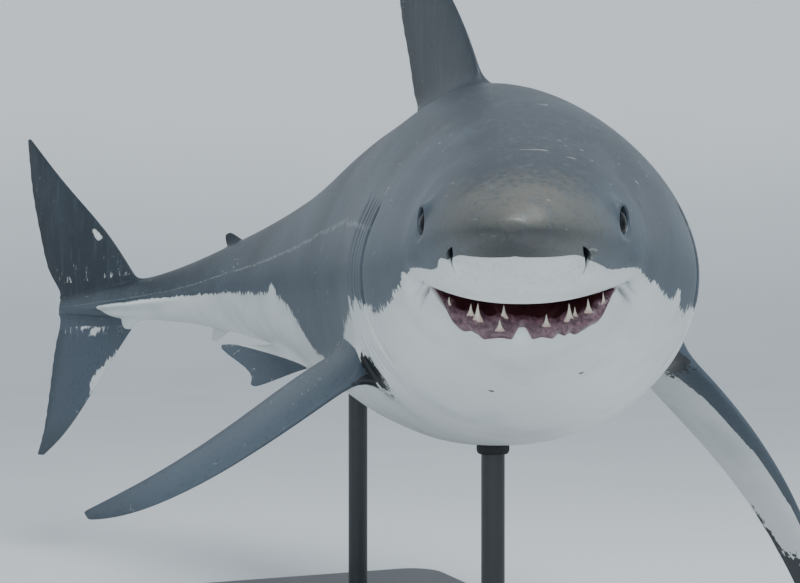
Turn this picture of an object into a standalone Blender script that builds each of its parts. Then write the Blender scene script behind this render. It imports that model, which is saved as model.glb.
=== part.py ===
"""A life-size museum model of a great white shark, still, on a plain display stand.

The body is first laid out straight, from the snout tip along +Y with its left side at +X, as one
closed cage: rings of points from the snout to the tail, with the fins drawn out of it and the
mouth, nostrils and gill slits pressed in. The cage is then bent along the spine into a slow turn
and parted by thin cuts into the head, trunk, tail and fins. The eyes and the lower gum with its
teeth sit in seats cut for them, and two rods carry the body over a flat base.

Lengths are in metres. Where a comment says "share", a number is a share of the total length.
"""

import math
from collections import namedtuple

import bmesh
import bpy
import numpy as np
from mathutils import Matrix, Vector

# ------------------------------------------------------------------ driving dimensions

TOTAL_LENGTH = 4.5
GAP = 0.0003                  # left between pieces that meet
UP = Vector((0, 0, 1))
BACK = Vector((0, 1, 0))

# Half width, back and belly of the trunk along the body, all in shares of the total length.
Station = namedtuple("Station", "at half_width back belly")
STATIONS = (
    Station(0.000, 0.0000, 0.0000, 0.0000),
    Station(0.030, 0.0252, 0.0168, -0.0128),
    Station(0.066, 0.0392, 0.0318, -0.0364),
    Station(0.090, 0.0476, 0.0402, -0.0450),
    Station(0.120, 0.0572, 0.0494, -0.0554),
    Station(0.200, 0.0808, 0.0722, -0.0843),
    Station(0.300, 0.0898, 0.0940, -0.1020),
    Station(0.370, 0.0870, 0.1035, -0.1065),
    Station(0.460, 0.0806, 0.0980, -0.0985),
    Station(0.575, 0.0625, 0.0680, -0.0655),
    Station(0.650, 0.0475, 0.0505, -0.0475),
    Station(0.720, 0.0327, 0.0350, -0.0325),
    Station(0.780, 0.0212, 0.0217, -0.0218),
    Station(0.818, 0.0160, 0.0160, -0.0170),
    Station(0.860, 0.0098, 0.0125, -0.0130),
    Station(0.912, 0.0018, 0.0050, -0.0060),
)
SNOUT_UNDERSIDE = ((0.000, 0.0), (0.030, -0.0128), (0.060, -0.0250), (0.120, -0.0500))
BACK_ROUNDNESS = ((0.0, 2.0), (0.10, 1.9), (0.25, 1.72), (1.0, 1.70))
BELLY_ROUNDNESS = 2.05
FLANK_DROP = 0.004            # share by which the widest line lies under the middle

# The spine's heading (degrees, towards the right side) and height (metres) along the body.
SPINE = (
    (0.00, -7.7, 0.000),
    (0.15, -5.9, -0.012),
    (0.30, 6.6, -0.013),
    (0.45, 22.2, -0.038),
    (0.60, 35.3, -0.061),
    (0.75, 52.0, -0.099),
    (0.82, 60.0, -0.124),
    (0.90, 56.0, -0.148),
    (1.00, 40.0, -0.160),
)

# Points round a ring: from the back (0) down the left side to the mouth corner, then closer
# together to the belly (HALF), and up the right side again.
CORNER = 11
HALF = 18
RING_POINTS = 2 * HALF
CORNER_ANGLE = 118.8

# Each ring's place at the back, the side and the belly, in shares.
HEAD_RINGS = (
    (0.003, 0.003, 0.003),
    (0.012, 0.012, 0.011),
    (0.022, 0.022, 0.020),
    (0.031, 0.031, 0.029),
    (0.038, 0.0360, 0.0400),
    (0.044, 0.0420, 0.0450),
    (0.052, 0.0520, 0.0488),
    (0.062, 0.0625, 0.0518),
    (0.068, 0.0685, 0.0542),
    (0.074, 0.0750, 0.0563),
    (0.083, 0.0800, 0.0583),
)
UPPER_LIP_RING = (0.091, 0.0925, 0.124)
LOWER_LIP_RING = (0.099, 0.1010, 0.102)
JAW_RINGS = (
    (0.111, 0.1160, 0.0740),
    (0.125, 0.1300, 0.0870),
    (0.143, 0.1470, 0.1100),
    (0.166, 0.1680, 0.1480),
)
GILL_SLITS = (0.190, 0.205, 0.220, 0.236, 0.254)
GILL_HALF_WIDTH = 0.0012
TRUNK_RINGS = (
    0.270, 0.284, 0.300, 0.318, 0.336,
    0.358, 0.380, 0.406, 0.434, 0.460,
    0.495, 0.530,
    0.572, 0.594, 0.618,
    0.642, 0.672,
    0.708, 0.716, 0.724, 0.732, 0.741,
    0.766, 0.795,
    0.824, 0.842, 0.862, 0.884, 0.905, 0.912,
)

MOUTH_HALF_WIDTH = 0.0405
UPPER_LIP_AT = 0.0602
MOUTH_LENGTH = 0.040
UPPER_LIP_HEIGHT = -0.0254
MOUTH_CORNER_HEIGHT = -0.0188
# The lower lip's height at turns round the jaw, from its middle to the corner of the mouth.
LOWER_LIP_RISE = ((0, -0.0364), (0.20, -0.0362), (0.30, -0.0346), (0.40, -0.0331),
                  (0.47, -0.0308), (0.53, -0.0275), (0.58, -0.0238), (0.63, -0.0212),
                  (0.70, -0.0205), (1.0, -0.0194))
LOWER_LIP_SETBACK = 0.0058    # share by which the lower lip's middle lies behind the upper's
LIP_SMOOTHING = 3             # passes that let the snout and jaw run into the lips

# The mouth's cavity, one row for each step inwards: its width as a share of the mouth's, and
# how far it goes back, and its roof and floor go up, in shares of the total length.
MouthStep = namedtuple("MouthStep", "width back roof floor")
MOUTH_STEPS = (
    MouthStep(0.97, 0.0030, 0.0012, 0.0004),
    MouthStep(0.86, 0.0120, 0.0060, 0.0000),
    MouthStep(0.62, 0.0180, 0.0000, -0.0030),
    MouthStep(0.40, 0.0180, -0.0060, 0.0010),
)

EYE_AT = (8, 7)               # the ring and point in the middle of the left eye
EYE_OPENING = 0.024
EYE_RADIUS = 0.030
EYE_THICKNESS = 0.020
EYE_RECESS = 0.005            # how far the lids turn in
EYE_PROUD = 0.001
EYE_SEGMENTS = (14, 9)

NOSTRIL_RINGS = (4, 5)
NOSTRIL_POINTS = (10, 13)
NOSTRIL_RIM = 0.006
NOSTRIL_PRESS = (-0.008, 0.0136, 0.0024)   # how the left nostril's floor moves

GILL_POINTS = (6, 12)
GILL_DEPTH = 0.022
GILL_SLANT = 0.012

KEEL_SPAN = (0.745, 0.815, 0.885)
KEEL_WIDTH = 0.0095

GUM_REACH = 0.64              # how far the gum runs round towards the mouth's corners
GUM_HALF_WIDTH = 0.148
GUM_SETBACK = 0.024
GUM_SIDE_SETBACK = 0.012
GUM_THICKNESS = 0.016
GUM_LEAST = 0.35              # of its full size, where the mouth closes
GUM_TOP = 0.45                # of the gap between the lips
GUM_ROOT = 0.020
GUM_SECTIONS = 15
GUM_SIDES = 6
TOOTH_PLACES = (0.125, 0.205, 0.28, 0.41, 0.505)
TOOTH_FOOT = 0.18             # of the gap between the lips
TOOTH_TOP = 0.92
TOOTH_HALF_BASE = 0.0095
TOOTH_LEAST = 0.45            # of its full width, where the mouth closes
TOOTH_LEAN = 0.002
TOOTH_RINGS = ((0, 1.0), (0.42, 0.62), (0.70, 0.34))   # height and width, as shares
TOOTH_SECTION = ((1, 0), (0.3, 0.45), (-0.3, 0.45), (-1, 0), (-0.3, -0.4), (0.3, -0.4))

BASE_SIZE = (0.95, 2.1, 0.04)
BASE_EDGE = 0.006
BASE_CORNER = 0.12
BASE_CORNER_STEPS = 5
FIN_CLEARANCE = 0.075         # from the lowest fin tip down to the floor
ROD_AT = (0.335, 0.560)
ROD_RADIUS = 0.030
ROD_SIDES = 18
ROD_DEPTH = 0.050             # how far a rod goes into the belly
COLLAR_RADIUS = 0.075
COLLAR_HEIGHT = 0.022

# Where each piece of the trunk ends. The caudal fin is what lies behind the last cut.
CUTS = (("head", 0.183), ("trunk_front", 0.500), ("trunk_rear", 0.690), ("tail_stock", 0.8165))
CUT_MARGIN = 0.16             # how far a cut reaches past the trunk, both sides together
FIN_CUT_RISE = 0.7            # where a fin is cut off, of the way out to its first section
FIN_CUT_SIZE = 1.3            # the size of that cut, in sizes of the fin's root
CAUDAL_LOBES = ("upper_lobe", "lower_lobe")
CAUDAL_MIDDLE = 0.87

# Colour, roughness and metallic value.
Finish = namedtuple("Finish", "colour roughness metallic")
SKIN = Finish((0.09, 0.13, 0.17), 0.45, 0.0)
EYE = Finish((0.006, 0.007, 0.009), 0.08, 0.0)
GUM = Finish((0.22, 0.10, 0.12), 0.35, 0.0)
STAND = Finish((0.09, 0.095, 0.10), 0.35, 0.6)
SHARP_ANGLE = math.radians(40)


# ------------------------------------------------------------------ curves

def smooth_curve(points):
    """Return the cubic that runs through (x, y) points and never overshoots them."""
    xs, ys = (np.array(column, float) for column in zip(*points))
    step = np.diff(xs)
    rise = np.diff(ys) / step
    slope = np.concatenate([rise[:1], np.zeros(len(xs) - 2), rise[-1:]])
    for i in range(1, len(xs) - 1):
        if rise[i - 1] * rise[i] > 0:
            slope[i] = 2 / (1 / rise[i - 1] + 1 / rise[i])

    def at(x):
        i = int(np.clip(np.searchsorted(xs, x) - 1, 0, len(step) - 1))
        t = (min(max(x, xs[0]), xs[-1]) - xs[i]) / step[i]
        start = (1 + 2 * t) * (1 - t) ** 2 * ys[i] + t * (1 - t) ** 2 * step[i] * slope[i]
        end = t * t * (3 - 2 * t) * ys[i + 1] - t * t * (1 - t) * step[i] * slope[i + 1]
        return float(start + end)

    return at


def ease(t):
    """Run smoothly from 0 to 1 as t does."""
    t = min(max(t, 0), 1)
    return t * t * (3 - 2 * t)


def rounded(points):
    """Return a smooth curve over the square root of x, which gives the snout a round tip."""
    curve = smooth_curve([(math.sqrt(x), y) for x, y in points])
    return lambda x: curve(math.sqrt(max(x, 0)))


half_width = rounded([(s.at, s.half_width) for s in STATIONS])
back_height = rounded([(s.at, s.back) for s in STATIONS])
belly_height = rounded([(s.at, s.belly) for s in STATIONS])
snout_underside = rounded(SNOUT_UNDERSIDE)
back_roundness = smooth_curve(BACK_ROUNDNESS)
heading = smooth_curve([(at, turn) for at, turn, _ in SPINE])
spine_height = smooth_curve([(at, height) for at, _, height in SPINE])
lower_lip_height = smooth_curve(LOWER_LIP_RISE)


# ------------------------------------------------------------------ the straight body

def point_angle(point):
    """Return the angle of a ring's point from the back, in degrees, right side past 180."""
    if point > HALF:
        return 360 - point_angle(RING_POINTS - point)
    if point <= CORNER:
        return point * CORNER_ANGLE / CORNER
    return CORNER_ANGLE + (point - CORNER) * (180 - CORNER_ANGLE) / (HALF - CORNER)


def ring_station(ring, angle):
    """Return where along the body a leaning ring passes at an angle."""
    back, side, belly = ring
    along = math.cos(math.radians(angle))
    return back * max(along, 0) ** 2 + side * (1 - along * along) + belly * min(along, 0) ** 2


def surface(at, angle, underside=belly_height):
    """Return the trunk's surface at a share of the length and an angle from the back."""
    across, along = math.sin(math.radians(angle)), math.cos(math.radians(angle))
    top, bottom = back_height(at), underside(at)
    middle = (top + bottom) / 2 - FLANK_DROP * min(at / 0.1, 1)
    power = 2 / (back_roundness(at) if along >= 0 else BELLY_ROUNDNESS)
    x = math.copysign(abs(across) ** power, across) * half_width(at)
    reach = top - middle if along >= 0 else middle - bottom
    z = middle + math.copysign(abs(along) ** power, along) * reach
    start, crest, end = KEEL_SPAN
    if abs(abs(angle - 180) - 90) < 8 and start < at < end:
        fade = (at - start) / (crest - start) if at < crest else (end - at) / (end - crest)
        x += math.copysign(KEEL_WIDTH * ease(fade), across)
    return Vector((x, at, z)) * TOTAL_LENGTH


def lip_turn(point):
    """Return -1 at the mouth's right corner, 0 at its middle and 1 at its left corner."""
    return (HALF - point) / (HALF - CORNER)


def lip(turn, upper):
    """Return a point on the upper or lower lip."""
    swing = math.radians(90 * abs(turn))
    across = math.copysign(MOUTH_HALF_WIDTH * math.sin(swing), turn)
    along = MOUTH_LENGTH * (1 - math.cos(swing)) ** 1.3
    if upper:
        rise = (MOUTH_CORNER_HEIGHT - UPPER_LIP_HEIGHT) * math.sin(swing) ** 1.5
        return Vector((across, UPPER_LIP_AT + along, UPPER_LIP_HEIGHT + rise)) * TOTAL_LENGTH
    back = UPPER_LIP_AT + along + LOWER_LIP_SETBACK * (1 - abs(turn))
    return Vector((across, back, lower_lip_height(abs(turn)))) * TOTAL_LENGTH


def all_rings():
    """Return every ring as a list of points, with the numbers of the two lip rings."""
    rings = []
    for ring in HEAD_RINGS + (UPPER_LIP_RING,):
        rings.append([surface(ring_station(ring, a), a, snout_underside) for a in ANGLES])
    upper = len(rings) - 1
    for ring in (LOWER_LIP_RING,) + JAW_RINGS:
        rings.append([surface(ring_station(ring, a), a) for a in ANGLES])
    for number, is_upper in ((upper, True), (upper + 1, False)):
        for point in range(CORNER, RING_POINTS - CORNER + 1):
            rings[number][point] = lip(lip_turn(point), is_upper)
    for slit in GILL_SLITS:
        for at in (slit - GILL_HALF_WIDTH, slit + GILL_HALF_WIDTH):
            rings.append([surface(at, a) for a in ANGLES])
    for at in TRUNK_RINGS:
        rings.append([surface(at, a) for a in ANGLES])
    return rings, upper


ANGLES = [point_angle(point) for point in range(RING_POINTS)]
FIRST_GILL_RING = len(HEAD_RINGS) + 2 + len(JAW_RINGS)
FIRST_TRUNK_RING = FIRST_GILL_RING + 2 * len(GILL_SLITS)


class Cage:
    """The body's one closed mesh, with its rings kept as a grid of vertices."""

    def __init__(self):
        self.bm = bmesh.new()
        self.anchor = self.bm.verts.layers.float.new("anchor")
        self.column = self.bm.verts.layers.int.new("column")
        self.row = self.bm.verts.layers.int.new("row")
        rings, self.upper_lip = all_rings()
        self.grid = []
        tip = bmesh.ops.create_circle(self.bm, segments=RING_POINTS, radius=0.01, cap_ends=True)
        self.name_ring(sorted(tip["verts"], key=lambda v: v.index), rings[0])
        face = self.bm.faces[:] if self.bm.faces else []
        pole = bmesh.ops.poke(self.bm, faces=face)["verts"][0]
        pole.co = (0, 0, 0)
        for ring in rings[1:]:
            edges = [self.bm.edges.get((a, b)) for a, b in self.ring_pairs(self.grid[-1])]
            grown = bmesh.ops.extrude_edge_only(self.bm, edges=edges)["geom"]
            fresh = [v for v in grown if isinstance(v, bmesh.types.BMVert)]
            self.name_ring(sorted(fresh, key=lambda v: v[self.column]), ring)
        self.close_tail(self.grid[-1])
        for number, ring in enumerate(self.grid):
            for vert in ring:
                vert[self.row] = number

    @staticmethod
    def ring_pairs(ring):
        """Return each point of a ring with the next one."""
        return list(zip(ring, ring[1:] + ring[:1]))

    def name_ring(self, verts, places):
        """Put a ring's vertices in place and keep them."""
        for column, (vert, place) in enumerate(zip(verts, places)):
            vert[self.column] = column
            vert.co = place
        self.grid.append(verts)

    def close_tail(self, ring):
        """Join the last ring's left side to its right side."""
        for point in range(HALF):
            left = ring[point:point + 2]
            right = [ring[-point - 1], ring[-point]] if point else [ring[-1]]
            if point == HALF - 1:
                right = [ring[-point]]
            self.bm.faces.new(left + right)

    def block(self, rows, columns):
        """Return the faces between two rings and two points."""
        faces = []
        for row in range(*rows):
            for column in range(*columns):
                corners = [self.grid[row][column % RING_POINTS],
                           self.grid[row][(column + 1) % RING_POINTS],
                           self.grid[row + 1][(column + 1) % RING_POINTS],
                           self.grid[row + 1][column % RING_POINTS]]
                faces.append(self.bm.faces.get(corners))
        return faces

    def draw(self, faces):
        """Extrude faces and return the new faces and vertices."""
        grown = bmesh.ops.extrude_face_region(self.bm, geom=faces)["geom"]
        bmesh.ops.delete(self.bm, geom=faces, context="FACES")
        new_faces = [g for g in grown if isinstance(g, bmesh.types.BMFace)]
        new_verts = [g for g in grown if isinstance(g, bmesh.types.BMVert)]
        return new_faces, new_verts


# ------------------------------------------------------------------ the head

def shape_lips(cage):
    """Let the snout and the jaw run smoothly into the lips and the corners of the mouth."""
    upper = cage.upper_lip
    fixed = set(cage.grid[upper][CORNER:-CORNER + 1]) | set(cage.grid[upper + 1][CORNER:-CORNER + 1])
    moved = []
    for row in range(upper - 3, upper + 5):
        for point in range(CORNER - 2, RING_POINTS - CORNER + 3):
            vert = cage.grid[row][point]
            if vert not in fixed:
                moved.append(vert)
    for _ in range(LIP_SMOOTHING):
        bmesh.ops.smooth_vert(cage.bm, verts=moved, factor=0.5,
                              use_axis_x=True, use_axis_y=True, use_axis_z=True)


def open_mouth(cage):
    """Press the band between the lips back into the head as the mouth's cavity."""
    row = cage.upper_lip
    faces = cage.block((row, row + 1), (CORNER, RING_POINTS - CORNER))
    width = 1
    for step in MOUTH_STEPS:
        faces, verts = cage.draw(faces)
        for vert in verts:
            lift = step.roof if vert[cage.row] == row else step.floor
            turn = abs(lip_turn(vert[cage.column]))
            vert.co.x *= step.width / width
            vert.co.y += step.back * TOTAL_LENGTH * (1 - turn / 2)
            vert.co.z += lift * TOTAL_LENGTH * (1 - turn * turn)
        width = step.width


def outward(cage, row, column):
    """Return the surface normal at a point of the cage, seen as a smooth surface."""
    above, below = cage.grid[row][column - 1].co, cage.grid[row][column + 1].co
    ahead, behind = cage.grid[row - 1][column].co, cage.grid[row + 1][column].co
    normal = (behind - ahead).cross(above - below).normalized()
    return normal if normal.x * above.x > 0 else -normal


def make_eye_socket(cage, column):
    """Turn the lids in round an eye and return the eye's middle and its outward axis."""
    row = EYE_AT[0]
    middle = cage.grid[row][column].co.copy()
    axis = outward(cage, row, column)
    first = column - 1
    _, verts = cage.draw(cage.block((row - 1, row + 1), (first, first + 2)))
    for vert in verts:
        spoke = vert.co - middle
        spoke -= axis * spoke.dot(axis)
        reach = EYE_OPENING if spoke.length > EYE_OPENING / 3 else 0
        vert.co = middle - axis * EYE_RECESS + spoke.normalized() * reach
    return middle - axis * (EYE_THICKNESS - EYE_PROUD), axis


def press_nostril(cage, columns):
    """Press a slanting slit into the side of the snout."""
    faces = cage.block(NOSTRIL_RINGS, columns)
    bmesh.ops.inset_region(cage.bm, faces=faces, thickness=NOSTRIL_RIM, depth=0,
                           use_even_offset=True, use_boundary=True)
    side = math.copysign(1, faces[0].calc_center_median().x)
    _, verts = cage.draw(faces)
    for vert in verts:
        vert.co += Vector((side, 1, 1)) * Vector(NOSTRIL_PRESS)


def press_gills(cage):
    """Cut the five gill slits into each side, running back under the skin."""
    for number in range(len(GILL_SLITS)):
        row = FIRST_GILL_RING + 2 * number
        for first, last in (GILL_POINTS, mirrored(GILL_POINTS)):
            _, verts = cage.draw(cage.block((row, row + 1), (first, last)))
            for vert in verts:
                inward = Vector((-vert.co.x, 0, -vert.co.z)).normalized()
                vert.co += inward * GILL_DEPTH + Vector((0, GILL_SLANT, 0))


def mirrored(columns):
    """Return the same points on the body's other side."""
    return RING_POINTS - columns[1], RING_POINTS - columns[0]


# ------------------------------------------------------------------ fins

# length: a share of the total length. thickness: metres, at the root.
# lead and trail: how far back each edge lies, in shares of the fin's length, along its span.
# droop: degrees below level at the root, and the degrees added towards the tip.
# pitch: degrees by which the trailing edge is raised at the root, and those added to the tip.
# sweep: how far the tip is swung back (or forward), in shares of the fin's length.
# splay: degrees by which the trailing edge is turned out in the fin's own plane.
# anchor: the share where a stiff paired fin joins the spine's turn.
Fin = namedtuple("Fin", "rows columns length thickness lead trail droop pitch sweep splay anchor",
                 defaults=((0, 0), 0, 0, None))

TRUNK_ROW = {at: FIRST_TRUNK_RING + n for n, at in enumerate(TRUNK_RINGS)}

DORSAL_LEAD = ((0, 0.0), (0.25, 0.21), (0.5, 0.45), (0.75, 0.72), (0.92, 0.95), (1, 1.14))
DORSAL_TRAIL = ((0, 0.96), (0.08, 1.14), (0.25, 1.15), (0.5, 1.20), (0.75, 1.27), (0.92, 1.31),
                (1, 1.30))
LOW_LEAD = ((0, 0.0), (0.5, 0.55), (1, 1.10))
LOW_TRAIL = ((0, 1.5), (0.3, 1.9), (1, 2.0))
PECTORAL_LEAD = ((0, 0.0), (0.2, 0.045), (0.4, 0.115), (0.6, 0.205), (0.8, 0.33), (0.93, 0.44),
                 (1, 0.53))
PECTORAL_TRAIL = ((0, 0.335), (0.08, 0.40), (0.2, 0.385), (0.4, 0.375), (0.6, 0.405), (0.8, 0.475),
                  (0.93, 0.54), (1, 0.575))
PELVIC_LEAD = ((0, 0.0), (0.5, 0.42), (1, 1.0))
PELVIC_TRAIL = ((0, 1.8), (0.2, 2.95), (0.6, 1.50), (1, 1.30))
UPPER_LOBE_LEAD = ((0, 0.0), (0.29, 0.22), (0.50, 0.43), (0.67, 0.625), (0.9, 0.87), (1, 0.985))
UPPER_LOBE_TRAIL = ((0, 0.69), (0.10, 0.80), (0.36, 0.885), (0.53, 0.94), (0.77, 0.99), (0.92, 1.01),
                    (1, 1.02))
LOWER_LOBE_LEAD = ((0, 0.0), (0.20, 0.18), (0.62, 0.535), (0.85, 0.76), (1, 0.98))
LOWER_LOBE_TRAIL = ((0, 0.76), (0.16, 0.85), (0.43, 0.90), (0.73, 0.955), (0.92, 1.02), (1, 1.06))


def rows(first, last):
    """Return the cage's row numbers at two trunk rings."""
    return TRUNK_ROW[first], TRUNK_ROW[last]


TOP, BOTTOM = (-1, 1), (HALF - 1, HALF + 1)
UPRIGHT, HANGING = (-90, 0), (90, 0)
FINS = {
    "first_dorsal_fin": Fin(rows(0.358, 0.460), TOP, 0.105, 0.050,
                            DORSAL_LEAD, DORSAL_TRAIL, UPRIGHT),
    "second_dorsal_fin": Fin(rows(0.708, 0.724), TOP, 0.012, 0.012, LOW_LEAD, LOW_TRAIL, UPRIGHT),
    "anal_fin": Fin(rows(0.724, 0.741), BOTTOM, 0.011, 0.012, LOW_LEAD, LOW_TRAIL, HANGING),
    "upper_lobe": Fin(rows(0.824, 0.905), TOP, 0.131, 0.036,
                      UPPER_LOBE_LEAD, UPPER_LOBE_TRAIL, UPRIGHT),
    "lower_lobe": Fin(rows(0.824, 0.905), BOTTOM, 0.113, 0.034,
                      LOWER_LOBE_LEAD, LOWER_LOBE_TRAIL, HANGING),
    "pectoral_fin_left": Fin(rows(0.270, 0.336), (9, 12), 0.205, 0.056,
                             PECTORAL_LEAD, PECTORAL_TRAIL, droop=(34, -7), pitch=(-8, -31),
                             sweep=0.17, anchor=0.300),
    "pectoral_fin_right": Fin(rows(0.270, 0.336), mirrored((10, 13)), 0.166, 0.056,
                              PECTORAL_LEAD, PECTORAL_TRAIL, droop=(35, 8), pitch=(10, 29),
                              sweep=-0.25, anchor=0.300),
    "pelvic_fin_left": Fin(rows(0.572, 0.618), (14, 16), 0.032, 0.024,
                           PELVIC_LEAD, PELVIC_TRAIL, droop=(34, 8), pitch=(8, 0), splay=16,
                           anchor=0.594),
    "pelvic_fin_right": Fin(rows(0.572, 0.618), mirrored((14, 16)), 0.032, 0.024,
                            PELVIC_LEAD, PELVIC_TRAIL, droop=(34, 8), pitch=(8, 0), splay=16,
                            anchor=0.594),
}
SMALL_FIN = 0.05              # share of the length below which a fin has few sections
SPANS = (0.05, 0.16, 0.30, 0.46, 0.62, 0.77, 0.89, 0.97, 1.0)
SMALL_FIN_SPANS = (0.2, 0.6, 1.0)
FIN_NOSE = 0.012              # how far the section's nose and heel reach along the chord
FIN_HEEL = 0.022
FIN_SPREAD = 1.3              # power that crowds the section's points towards its nose
FIN_TAPER = 0.86
TIP_TAPER = 0.06
ROOT_FLARE = 1.25
THINNEST_EDGE = 0.0024


def foil(c):
    """Return the half thickness of a fin's section at a share of its chord."""
    return 2 * (1.4845 * math.sqrt(c) - 0.63 * c - 1.758 * c ** 2 + 1.4215 * c ** 3
                - 0.5075 * c ** 4)


class FinPlan:
    """Where a fin stands on the straight body and which way it points."""

    def __init__(self, cage, fin):
        self.fin = fin
        first, last = fin.rows
        left, right = (column % RING_POINTS for column in fin.columns)
        lead, trail = cage.grid[first], cage.grid[last]
        self.lead_root = (lead[left].co + lead[right].co) / 2
        self.trail_root = (trail[left].co + trail[right].co) / 2
        self.across_root = lead[right].co - lead[left].co
        self.side = 0 if fin.anchor is None else math.copysign(1, self.lead_root.x)
        if fin.anchor is None:
            self.lead_root.z = lead[right - 1].co.z
            self.trail_root.z = trail[right - 1].co.z
        self.length = fin.length * TOTAL_LENGTH
        self.small = fin.length < SMALL_FIN
        self.spans = SMALL_FIN_SPANS if self.small else SPANS

    def axes(self, span):
        """Return the outward, tailward and across directions at a share of the span."""
        droop, pitch = (math.radians(root + added * span)
                        for root, added in (self.fin.droop, self.fin.pitch))
        splay = math.radians(self.fin.splay)
        out = Vector((self.side * math.cos(droop), 0, -math.sin(droop)))
        above = Vector((self.side * math.sin(droop), 0, math.cos(droop)))
        along = (self.trail_root - self.lead_root).normalized() if self.small else BACK
        tailward = along * math.cos(pitch) * math.cos(splay) + above * math.sin(pitch)
        tailward = tailward + out * math.sin(splay)
        across = out.cross(tailward).normalized()
        return out, tailward, across if across.dot(self.across_root) > 0 else -across

    def edges(self, span, steps=12):
        """Return the fin's leading and trailing points at a share of the span."""
        axis = self.lead_root.copy()
        for step in range(steps):
            out, _, _ = self.axes(span * (step + 0.5) / steps)
            axis += out * self.length * span / steps
        _, tailward, _ = self.axes(span)
        lead, trail = (smooth_curve(edge)(span) + self.fin.sweep * span
                       for edge in (self.fin.lead, self.fin.trail))
        return axis + tailward * self.length * lead, axis + tailward * self.length * trail

    def half_thickness(self, span):
        """Return half the thickness of the fin at a share of the span."""
        flare = ROOT_FLARE if span == self.spans[0] else 1
        taper = TIP_TAPER if span == 1 else max(1 - FIN_TAPER * span, TIP_TAPER)
        return self.fin.thickness * taper * flare / 2

    def carry(self, point):
        """Carry a point of the fin to its place in the turn."""
        return pose(point, self.fin.anchor)


def grow_fin(cage, fin):
    """Draw a fin out of its block of faces, one section after another."""
    plan = FinPlan(cage, fin)
    faces = cage.block(fin.rows, fin.columns)
    first, last = fin.rows
    width = fin.columns[1] - fin.columns[0]
    for span in plan.spans:
        start, end = plan.edges(span)
        _, _, across = plan.axes(span)
        faces, verts = cage.draw(faces)
        for vert in verts:
            share = (vert[cage.row] - first) / (last - first)
            swing = 2 * ((vert[cage.column] - fin.columns[0]) % RING_POINTS) / width - 1
            chord = FIN_NOSE + (1 - FIN_NOSE - FIN_HEEL) * share ** FIN_SPREAD
            half = max(plan.half_thickness(span) * foil(chord), THINNEST_EDGE / 2)
            if share == 0:
                chord *= abs(swing)
            if share == 1:
                chord = 1 - FIN_HEEL * abs(swing)
            vert.co = start.lerp(end, chord) + across * (half * swing)
            vert[cage.anchor] = fin.anchor or 0
    return plan


# ------------------------------------------------------------------ the pose

def make_spine(samples=400):
    """Return the spine's middle line as arrays of stations and positions."""
    stations = np.linspace(0, 1, samples + 1)
    turns = np.radians([heading(s) for s in stations])
    step = TOTAL_LENGTH / samples
    across = np.concatenate([[0], np.cumsum(-(np.sin(turns[1:]) + np.sin(turns[:-1])) / 2 * step)])
    along = np.concatenate([[0], np.cumsum((np.cos(turns[1:]) + np.cos(turns[:-1])) / 2 * step)])
    return stations, across, along


SPINE_LINE = make_spine()


def pose(point, anchor=None):
    """Carry a point of the straight body, or of a stiff fin at its anchor, into the turn."""
    at = min(max(anchor or point.y / TOTAL_LENGTH, 0), 1)
    turn = math.radians(heading(at))
    stations, across, along = SPINE_LINE
    left = Vector((math.cos(turn), math.sin(turn), 0))
    back = Vector((-math.sin(turn), math.cos(turn), 0))
    middle = Vector((np.interp(at, stations, across), np.interp(at, stations, along),
                     spine_height(at)))
    return middle + left * point.x + back * (point.y - at * TOTAL_LENGTH) + UP * point.z


def pose_frame(at):
    """Return the placing of a part that stands square to the spine at a share."""
    turn = math.radians(heading(at))
    return Matrix.Translation(pose(Vector((0, at * TOTAL_LENGTH, 0)))) @ Matrix.Rotation(turn, 4, "Z")


# ------------------------------------------------------------------ objects

def material(name, finish):
    """Return a plain material with a finish."""
    made = bpy.data.materials.new(name)
    made.use_nodes = True
    shader = made.node_tree.nodes["Principled BSDF"]
    shader.inputs["Base Color"].default_value = (*finish.colour, 1)
    shader.inputs["Roughness"].default_value = finish.roughness
    shader.inputs["Metallic"].default_value = finish.metallic
    return made


def keep(name, bm, finish=None):
    """Make an object of a mesh, with a material of its own if it has a finish."""
    bmesh.ops.recalc_face_normals(bm, faces=bm.faces)
    mesh = bpy.data.meshes.new(name)
    bm.to_mesh(mesh)
    bm.free()
    made = bpy.data.objects.new(name, mesh)
    bpy.context.collection.objects.link(made)
    if finish:
        dress(made, name, finish)
    return made


def dress(made, name, finish):
    """Name an object and give it a material of its own and smooth shading."""
    made.name = made.data.name = name
    made.data.materials.clear()
    made.data.materials.append(material(f"{name}_finish", finish))
    made.data.shade_smooth()
    made.data.set_sharp_from_angle(angle=SHARP_ANGLE)


def combine(target, other, operation):
    """Cut one solid out of another, or join it on, and drop the second."""
    step = target.modifiers.new(operation.title(), "BOOLEAN")
    step.operation = operation
    step.object = other
    step.solver = "EXACT"
    bpy.context.view_layer.update()
    evaluated = target.evaluated_get(bpy.context.evaluated_depsgraph_get())
    made = bpy.data.meshes.new_from_object(evaluated)
    target.modifiers.clear()
    target.data = made
    bpy.data.objects.remove(other)


def add_slab(bm, placing, size):
    """Add a box of a size, about the middle of its placing."""
    bmesh.ops.create_cube(bm, size=1, matrix=placing @ Matrix.Diagonal((*size, 1)))


# ------------------------------------------------------------------ eyes, gum and teeth

def add_eye(bm, centre, axis, extra=0.0):
    """Add an eyeball, flattened along its axis, fuller by a margin."""
    turn = axis.to_track_quat("Z", "Y").to_matrix().to_4x4()
    radii = Matrix.Diagonal((EYE_RADIUS + extra, EYE_RADIUS + extra, EYE_THICKNESS + extra, 1))
    around, across = EYE_SEGMENTS
    bmesh.ops.create_uvsphere(bm, u_segments=around, v_segments=across, radius=1,
                              matrix=Matrix.Translation(centre) @ turn @ radii)


def mouth_gap(turn):
    """Return how far the lips stand apart at a turn round the jaw."""
    return lip(turn, True).z - lip(turn, False).z


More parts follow.
